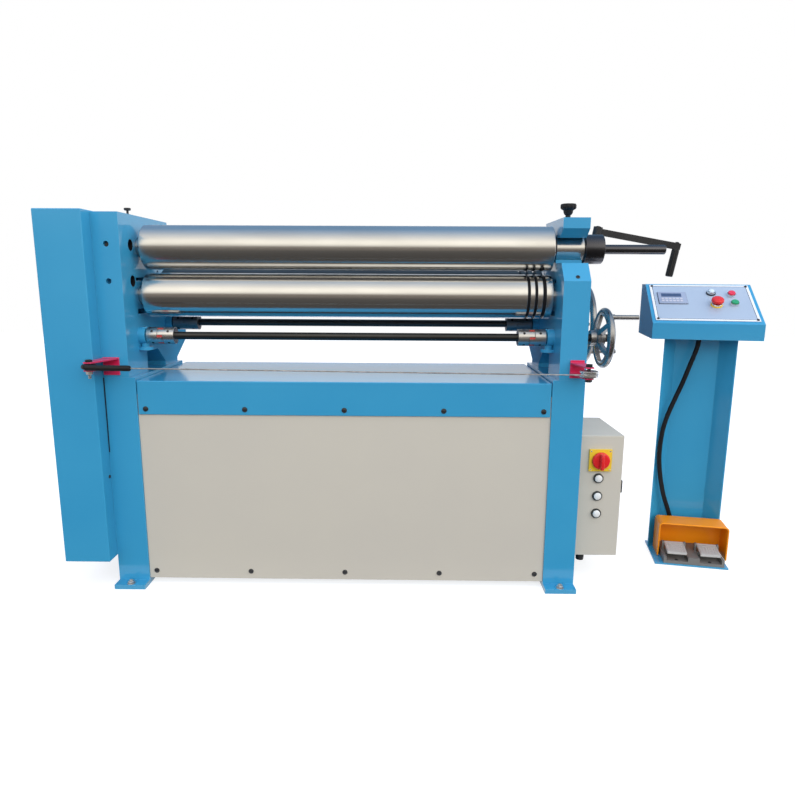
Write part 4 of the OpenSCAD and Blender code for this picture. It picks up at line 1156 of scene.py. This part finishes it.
red_plastic = glossy("red plastic", (0.74, 0.006, 0.010), (0.78, 0.03, 0.03))
bm = bmesh.new()
turn(
    bm,
    [
        (0.0078, 0.0005),
        (0.0078, plate_h + 0.0005),
        (knob_r - 0.0006, plate_h + 0.0005),
        (knob_r, plate_h + 0.0015),
        (knob_r, plate_h + knob_h - 0.004),
        (knob_r - 0.0008, plate_h + knob_h - 0.002),
        (knob_r - 0.0028, plate_h + knob_h - 0.0005),
        (knob_r - 0.006, plate_h + knob_h),
        (0, plate_h + knob_h),
    ],
    knob_at,
    64,
)
handle_at = knob_at @ Matrix.Translation((0, 0, plate_h + knob_h - 0.0005))
bar(bm, (0.018, 0.053, 0.0155), handle_at, 0.0028, 3, 0.55)
knob = piece("main_switch_knob", bm, red_plastic, "main_switch")
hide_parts("switch_knob")

# Four small screws in the plate's corners
plate_screw = 0.031
bm = bmesh.new()
for x in (-plate_screw, plate_screw):
    for z in (-plate_screw, plate_screw):
        dome_screw(bm, knob_at @ Vector((x, z, plate_h - 0.0002)), forward, radius=0.0026, height=0.0012)
piece("switch_plate_screws", bm, bright, "machine")


def bezel(bm, at, radius, ribs=24):
    """Adds a lamp's screwed ring, finely ribbed round its side."""
    rings = []
    for wide, height, depth in (
        (1.0, 0.0, 0.0),
        (1.0, 0.002, 0.035),
        (1.0, 0.0055, 0.035),
        (0.93, 0.0072, 0.0),
        (0.80, 0.0078, 0.0),
        (0.74, 0.0065, 0.0),
    ):
        ring = []
        for k in range(ribs * 3):
            angle = 2 * math.pi * k / (ribs * 3)
            ring.append(at @ spoke(radius * (wide - depth * (k % 3 == 0)), angle, height))
        rings.append(ring)
    loft(bm, rings)


def lens(bm, at, radius):
    """Adds a lamp's domed lens, its foot inside the ring."""
    dome = [(0.75, 0.0062), (0.75, 0.0082), (0.7, 0.0096), (0.55, 0.011), (0.3, 0.0119), (0, 0.0122)]
    turn(bm, [(wide * radius, height) for wide, height in dome], at, 36)


dark_bezel = turned_steel("dark bezel", (0.09, 0.1, 0.1), (0.05, 0.055, 0.055), 0.26, (200.0, 200.0, 200.0))
white_lens = moulded(
    "white lens",
    (0.82, 0.82, 0.79),
    (0.88, 0.88, 0.85),
    0.14,
    60.0,
    0.00005,
    Coat_Weight=0.6,
    Coat_Roughness=0.05,
)
lamp_x = 0.832
lamp_r = 0.0164
rings, lenses = bmesh.new(), bmesh.new()
for z in (0.356, 0.295, 0.234):
    lamp_at = facing(forward, (lamp_x, cabinet_low.y, z))
    bezel(rings, lamp_at, lamp_r)
    lens(lenses, lamp_at, lamp_r)
lamps = piece("pilot_lamp_bezels", rings, dark_bezel, "machine", 30)
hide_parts("pilot_lamps")
piece("pilot_lamp_lenses", lenses, white_lens, "machine")


# --- Pedestal and console -------------------------------------------------------------
# A channel bent from 3 mm sheet stands on a plate and carries the sloping console, all
# blue. The panel is anodised aluminium with a white edge, and four screws hold it.

dress("pedestal", blue_paint, 0.0012, 2)
dress("console_box", blue_paint, 0.004, 3)
panel_metal = enamel(
    "anodised panel",
    (0.47, 0.56, 0.68),
    (0.51, 0.60, 0.71),
    (0.7, 0.74, 0.8),
    0.42,
    0.0008,
    0.00001,
    Metallic=0.25,
    Coat_Weight=0.15,
)
dress("console_panel", panel_metal, 0.0006, 2)

panel_t = 0.002
console_slope = math.atan2(0.130, 0.199)
console_face = pedestal @ Matrix.Translation((0, -0.024, 0.854)) @ Matrix.Rotation(console_slope, 4, "X")


def on_panel(x, up, above=panel_t):
    """A place on the console's panel, across it and up its slope."""
    return console_face @ Matrix.Translation((x, up, above))


def band(bm, left, low, right, high, width, at, thick):
    """Adds a flat frame of one width, standing thick above the local plane."""
    rings = []
    for inset, height in ((0, 0), (0, thick), (width, thick), (width, 0)):
        near, far = low + inset, high - inset
        outline = [(left + inset, near), (right - inset, near), (right - inset, far), (left + inset, far)]
        rings.append([at @ Vector((x, y, height)) for x, y in outline])
    loft(bm, rings, closed=False)


panel_half = 0.168
panel_low = 0.014
panel_high = 0.2297
inset = 0.0085
edge = (-panel_half + 0.0003, panel_low + 0.0003, panel_half - 0.0003, panel_high - 0.0003)
inner = (-panel_half + inset, panel_low + inset, panel_half - inset, panel_high - inset)
display = (-0.1473, 0.1087, -0.0487, 0.1813)
white_print = moulded("white print", (0.82, 0.83, 0.85), (0.86, 0.87, 0.88), 0.35, 900.0, 0.00001)
black_print = moulded("black print", (0.02, 0.02, 0.03), (0.03, 0.03, 0.04), 0.4, 900.0, 0.00001)
bm = bmesh.new()
band(bm, *edge, inset, on_panel(0, 0), 0.00025)
piece("panel_edge", bm, white_print, "machine")
bm = bmesh.new()
band(bm, *inner, 0.0014, on_panel(0, 0), 0.0003)
band(bm, *display, 0.0012, on_panel(0, 0), 0.0003)
piece("panel_lines", bm, black_print, "machine")

corner_screw = [(0.0048, 0), (0.0048, 0.0012), (0.004, 0.0026), (0.0022, 0.0032)]
corner_screw += [(0.0018, 0.0018), (0, 0.0016)]
bm = bmesh.new()
for x in (inner[0], inner[2]):
    for y in (inner[1], inner[3]):
        turn(bm, corner_screw, on_panel(x, y), 24)
piece("panel_corner_screws", bm, black_steel, "machine")

# Counter: a grey frame, a dark window above and two rows of keys below
counter_x, counter_y = -0.098, 0.145
counter_h = 0.006
key_pitch = 0.0124
bezel_grey = moulded(
    "counter frame", (0.30, 0.36, 0.50), (0.36, 0.42, 0.55), 0.35, 900.0, 0.00003, Coat_Weight=0.2
)
window_dark = moulded(
    "counter window", (0.045, 0.075, 0.16), (0.06, 0.095, 0.19), 0.12, 900.0, 0.00001, Coat_Weight=0.6
)
key_pale = moulded("counter keys", (0.52, 0.52, 0.6), (0.6, 0.6, 0.66), 0.5, 900.0, 0.00003)
bm = bmesh.new()
bar(bm, (0.0954, 0.0694, 0.0042), on_panel(counter_x, counter_y), 0.0014, 3)
piece("counter_frame", bm, bezel_grey, "machine")
bm = bmesh.new()
bar(bm, (0.068, 0.020, 0.0008), on_panel(counter_x - 0.003, counter_y + 0.014, counter_h), 0.0003, 1)
piece("counter_window", bm, window_dark, "machine")
bm = bmesh.new()
for k in range(6):
    for row in (-0.008, -0.021):
        key_at = on_panel(counter_x - 0.034 + k * key_pitch, counter_y + row, counter_h)
        bar(bm, (0.0095, 0.0075, 0.0012), key_at, 0.0004, 1)
piece("counter_keys", bm, key_pale, "machine")

# Buttons: a red mushroom on a yellow collar, and a red and a green one in bright rings
estop_at = on_panel(0.043, 0.107)
stop_at = on_panel(0.101, 0.166)
start_at = on_panel(0.102, 0.111)
chrome = turned_steel(
    "chromed ring", (0.82, 0.82, 0.83), (0.7, 0.7, 0.72), 0.1, (300.0, 300.0, 300.0), (60.0, 60.0, 60.0)
)
rim = [(0.0148, 0), (0.0148, 0.0075), (0.0143, 0.0088), (0.0132, 0.0092), (0.0128, 0.0085), (0.0128, 0)]
bm = bmesh.new()
turn(bm, rim, stop_at, 48)
turn(bm, rim, start_at, 48)
rims = piece("button_rings", bm, chrome, "machine")
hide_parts("button_rims")
collar = [(0.0198, 0), (0.0198, 0.0022), (0.0185, 0.0036), (0.016, 0.004), (0.0105, 0.004), (0.0105, 0)]
bm = bmesh.new()
turn(bm, collar, estop_at, 48)
piece("estop_collar", bm, yellow_plastic, "machine")
ring = [(0.0168, 0.0038), (0.0168, 0.0072), (0.0158, 0.0084), (0.0108, 0.0086)]
ring += [(0.0104, 0.008), (0.0104, 0.0038)]
bm = bmesh.new()
turn(bm, ring, estop_at, 48)
piece("estop_ring", bm, chrome, "machine")

button_stem_r = 0.0096
below = -0.008
bm = bmesh.new()
turn(
    bm,
    [
        (button_stem_r, below),
        (button_stem_r, 0.0152),
        (0.0190, 0.0156),
        (0.0205, 0.0172),
        (0.0208, 0.0205),
        (0.0198, 0.0242),
        (0.0170, 0.0268),
        (0.0113, 0.0282),
        (0.0053, 0.0286),
        (0, 0.0287),
    ],
    estop_at,
    56,
)
mushroom = piece("estop_mushroom", bm, red_plastic, "estop")
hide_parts("estop_button")

push_cap = [
    (button_stem_r, below),
    (button_stem_r, 0.0056),
    (0.0121, 0.006),
    (0.0121, 0.0128),
    (0.0115, 0.0139),
    (0.0100, 0.0144),
    (0.0052, 0.0138),
    (0, 0.0136),
]
rose_plastic = glossy("bright red plastic", (0.78, 0.015, 0.06), (0.82, 0.05, 0.1))
green_plastic = glossy("green plastic", (0.008, 0.33, 0.12), (0.03, 0.38, 0.17))
for name, at, material, body, slot, node in (
    ("stop_cap", stop_at, rose_plastic, "stop", "red_plastic", "stop_button"),
    ("start_cap", start_at, green_plastic, "start", "green_plastic", "start_button"),
):
    bm = bmesh.new()
    turn(bm, push_cap, at, 48)
    cap = piece(name, bm, material, body)
    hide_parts(node)

# The lamp's ring and lens stand on a turned black base
console_lamp_x, console_lamp_y = 0.036, 0.177
console_lamp_r = 0.0138
base_h = 0.0045
bluish_lens = moulded(
    "bluish lens",
    (0.62, 0.76, 0.84),
    (0.74, 0.85, 0.9),
    0.12,
    60.0,
    0.00005,
    Coat_Weight=0.7,
    Coat_Roughness=0.04,
)
base = [(0.0158, 0), (0.0158, base_h - 0.001), (0.0148, base_h), (0.013, base_h)]
bm = bmesh.new()
turn(bm, base, on_panel(console_lamp_x, console_lamp_y), 40)
piece("console_lamp_base", bm, black_plastic, "machine")
bm = bmesh.new()
bezel(bm, on_panel(console_lamp_x, console_lamp_y, base_h), console_lamp_r)
piece("console_lamp_ring", bm, chrome, "machine", 30)
bm = bmesh.new()
lens(bm, on_panel(console_lamp_x, console_lamp_y, panel_t + 0.0035), console_lamp_r)
piece("console_lamp_lens", bm, bluish_lens, "machine")


# --- Foot switch ----------------------------------------------------------------------
# Two hinged treads in a grey cast tray, under a hood bent from thick orange sheet. The
# hood's front edge is rolled, and screws hold the tray to the pedestal's plate.

orange = enamel(
    "orange enamel",
    (0.93, 0.275, 0.001),
    (0.95, 0.31, 0.003),
    (0.98, 0.47, 0.06),
    0.4,
    0.004,
    Specular_IOR_Level=0.25,
    Coat_Weight=0.15,
    Coat_Roughness=0.2,
)
dress("foot_switch_hood", orange, 0.0015, 3)
hood_mid = 0.014
hood_half = 0.1175
hood_top = 0.132
hood_front = -0.036
hood_r = 0.014
hood_foot = 0.0085
edge_r = 0.0032
edge_in = edge_r * 0.6
edge_step = 0.008
bend_mid = Vector((-hood_half + hood_r, hood_top - hood_r))
outline = [Vector((-hood_half + edge_in, hood_foot))]
for step in range(9):
    outline.append(bend_mid + spoke(hood_r - edge_in, math.pi - math.pi / 2 * step / 8).xy)
outline += [Vector((-corner.x, corner.y)) for corner in reversed(outline)]
route = []
for start, end in zip(outline, outline[1:]):
    parts = max(1, round((end - start).length / edge_step))
    route += [start.lerp(end, k / parts) for k in range(parts)]
route.append(outline[-1])
bm = bmesh.new()
thread(bm, [pedestal @ Vector((hood_mid + p.x, hood_front + 0.001, p.y)) for p in route], edge_r, 12)
piece("hood_edge", bm, orange, "machine")

cast_grain = 240.0
# The tray's own grey, darkened with painted shade for its dim inside between and behind the treads
shaded_grey_casting = moulded(
    "shaded grey casting", (0.15, 0.147, 0.138), (0.22, 0.215, 0.2), 0.5, cast_grain, 0.0004, Metallic=0.2
)
pale_casting = moulded(
    "pale casting", (0.52, 0.51, 0.48), (0.64, 0.63, 0.60), 0.42, cast_grain, 0.0003, Metallic=0.35
)
dress("foot_switch_base", shaded_grey_casting, 0.0015, 2)

# Each tread has a raised rim, raised ribs both ways, and a lip bent down at its front
pedal_w = 0.066
pedal_reach = 0.067
pedal_t = 0.006
pedal_slope = math.radians(11)
rib_gap = 0.0096
for side in ("left", "right"):
    dress(side + "_pedal", pale_casting, 0.0015, 3)
    tread = (
        Matrix.Translation(joints[side + "_pedal_press"]["pos_m"])
        @ pedestal.to_3x3().to_4x4()
        @ Matrix.Rotation(pedal_slope, 4, "X")
        @ Matrix.Translation((0, -pedal_reach / 2 - 0.004, pedal_t))
    )
    lip_at = tread @ Matrix.Translation((0, -pedal_reach / 2 + 0.0065, -pedal_t - 0.0022))
    bm = bmesh.new()
    band(bm, -0.030, -0.026, 0.030, 0.026, 0.0032, tread, 0.0014)
    for k in (-2, -1, 0, 1, 2):
        bar(bm, (0.0028, 0.043, 0.0013), tread @ Matrix.Translation((k * rib_gap, 0, 0)), 0.0004, 1)
    for y in (-0.012, 0.0, 0.012):
        bar(bm, (0.053, 0.0026, 0.001), tread @ Matrix.Translation((0, y, 0)), 0.0004, 1)
    bar(bm, (pedal_w, 0.0045, 0.004), lip_at, 0.001, 2)
    piece(side + "_tread", bm, pale_casting, "pedal_" + side)

# Two screws in the tray's floor in front, and three along its rear flange
base_x = 0.008
bm = bmesh.new()
for x in (-0.0555, 0.0555):
    dome_screw(bm, pedestal @ Vector((base_x + x, -0.084, 0.016)), upward, radius=0.006, height=0.003)
for x in (-0.096, 0, 0.096):
    dome_screw(bm, pedestal @ Vector((base_x + x, 0.034, 0.032)), upward, radius=0.0045, height=0.0025)
piece("foot_switch_screws", bm, black_steel, "machine")
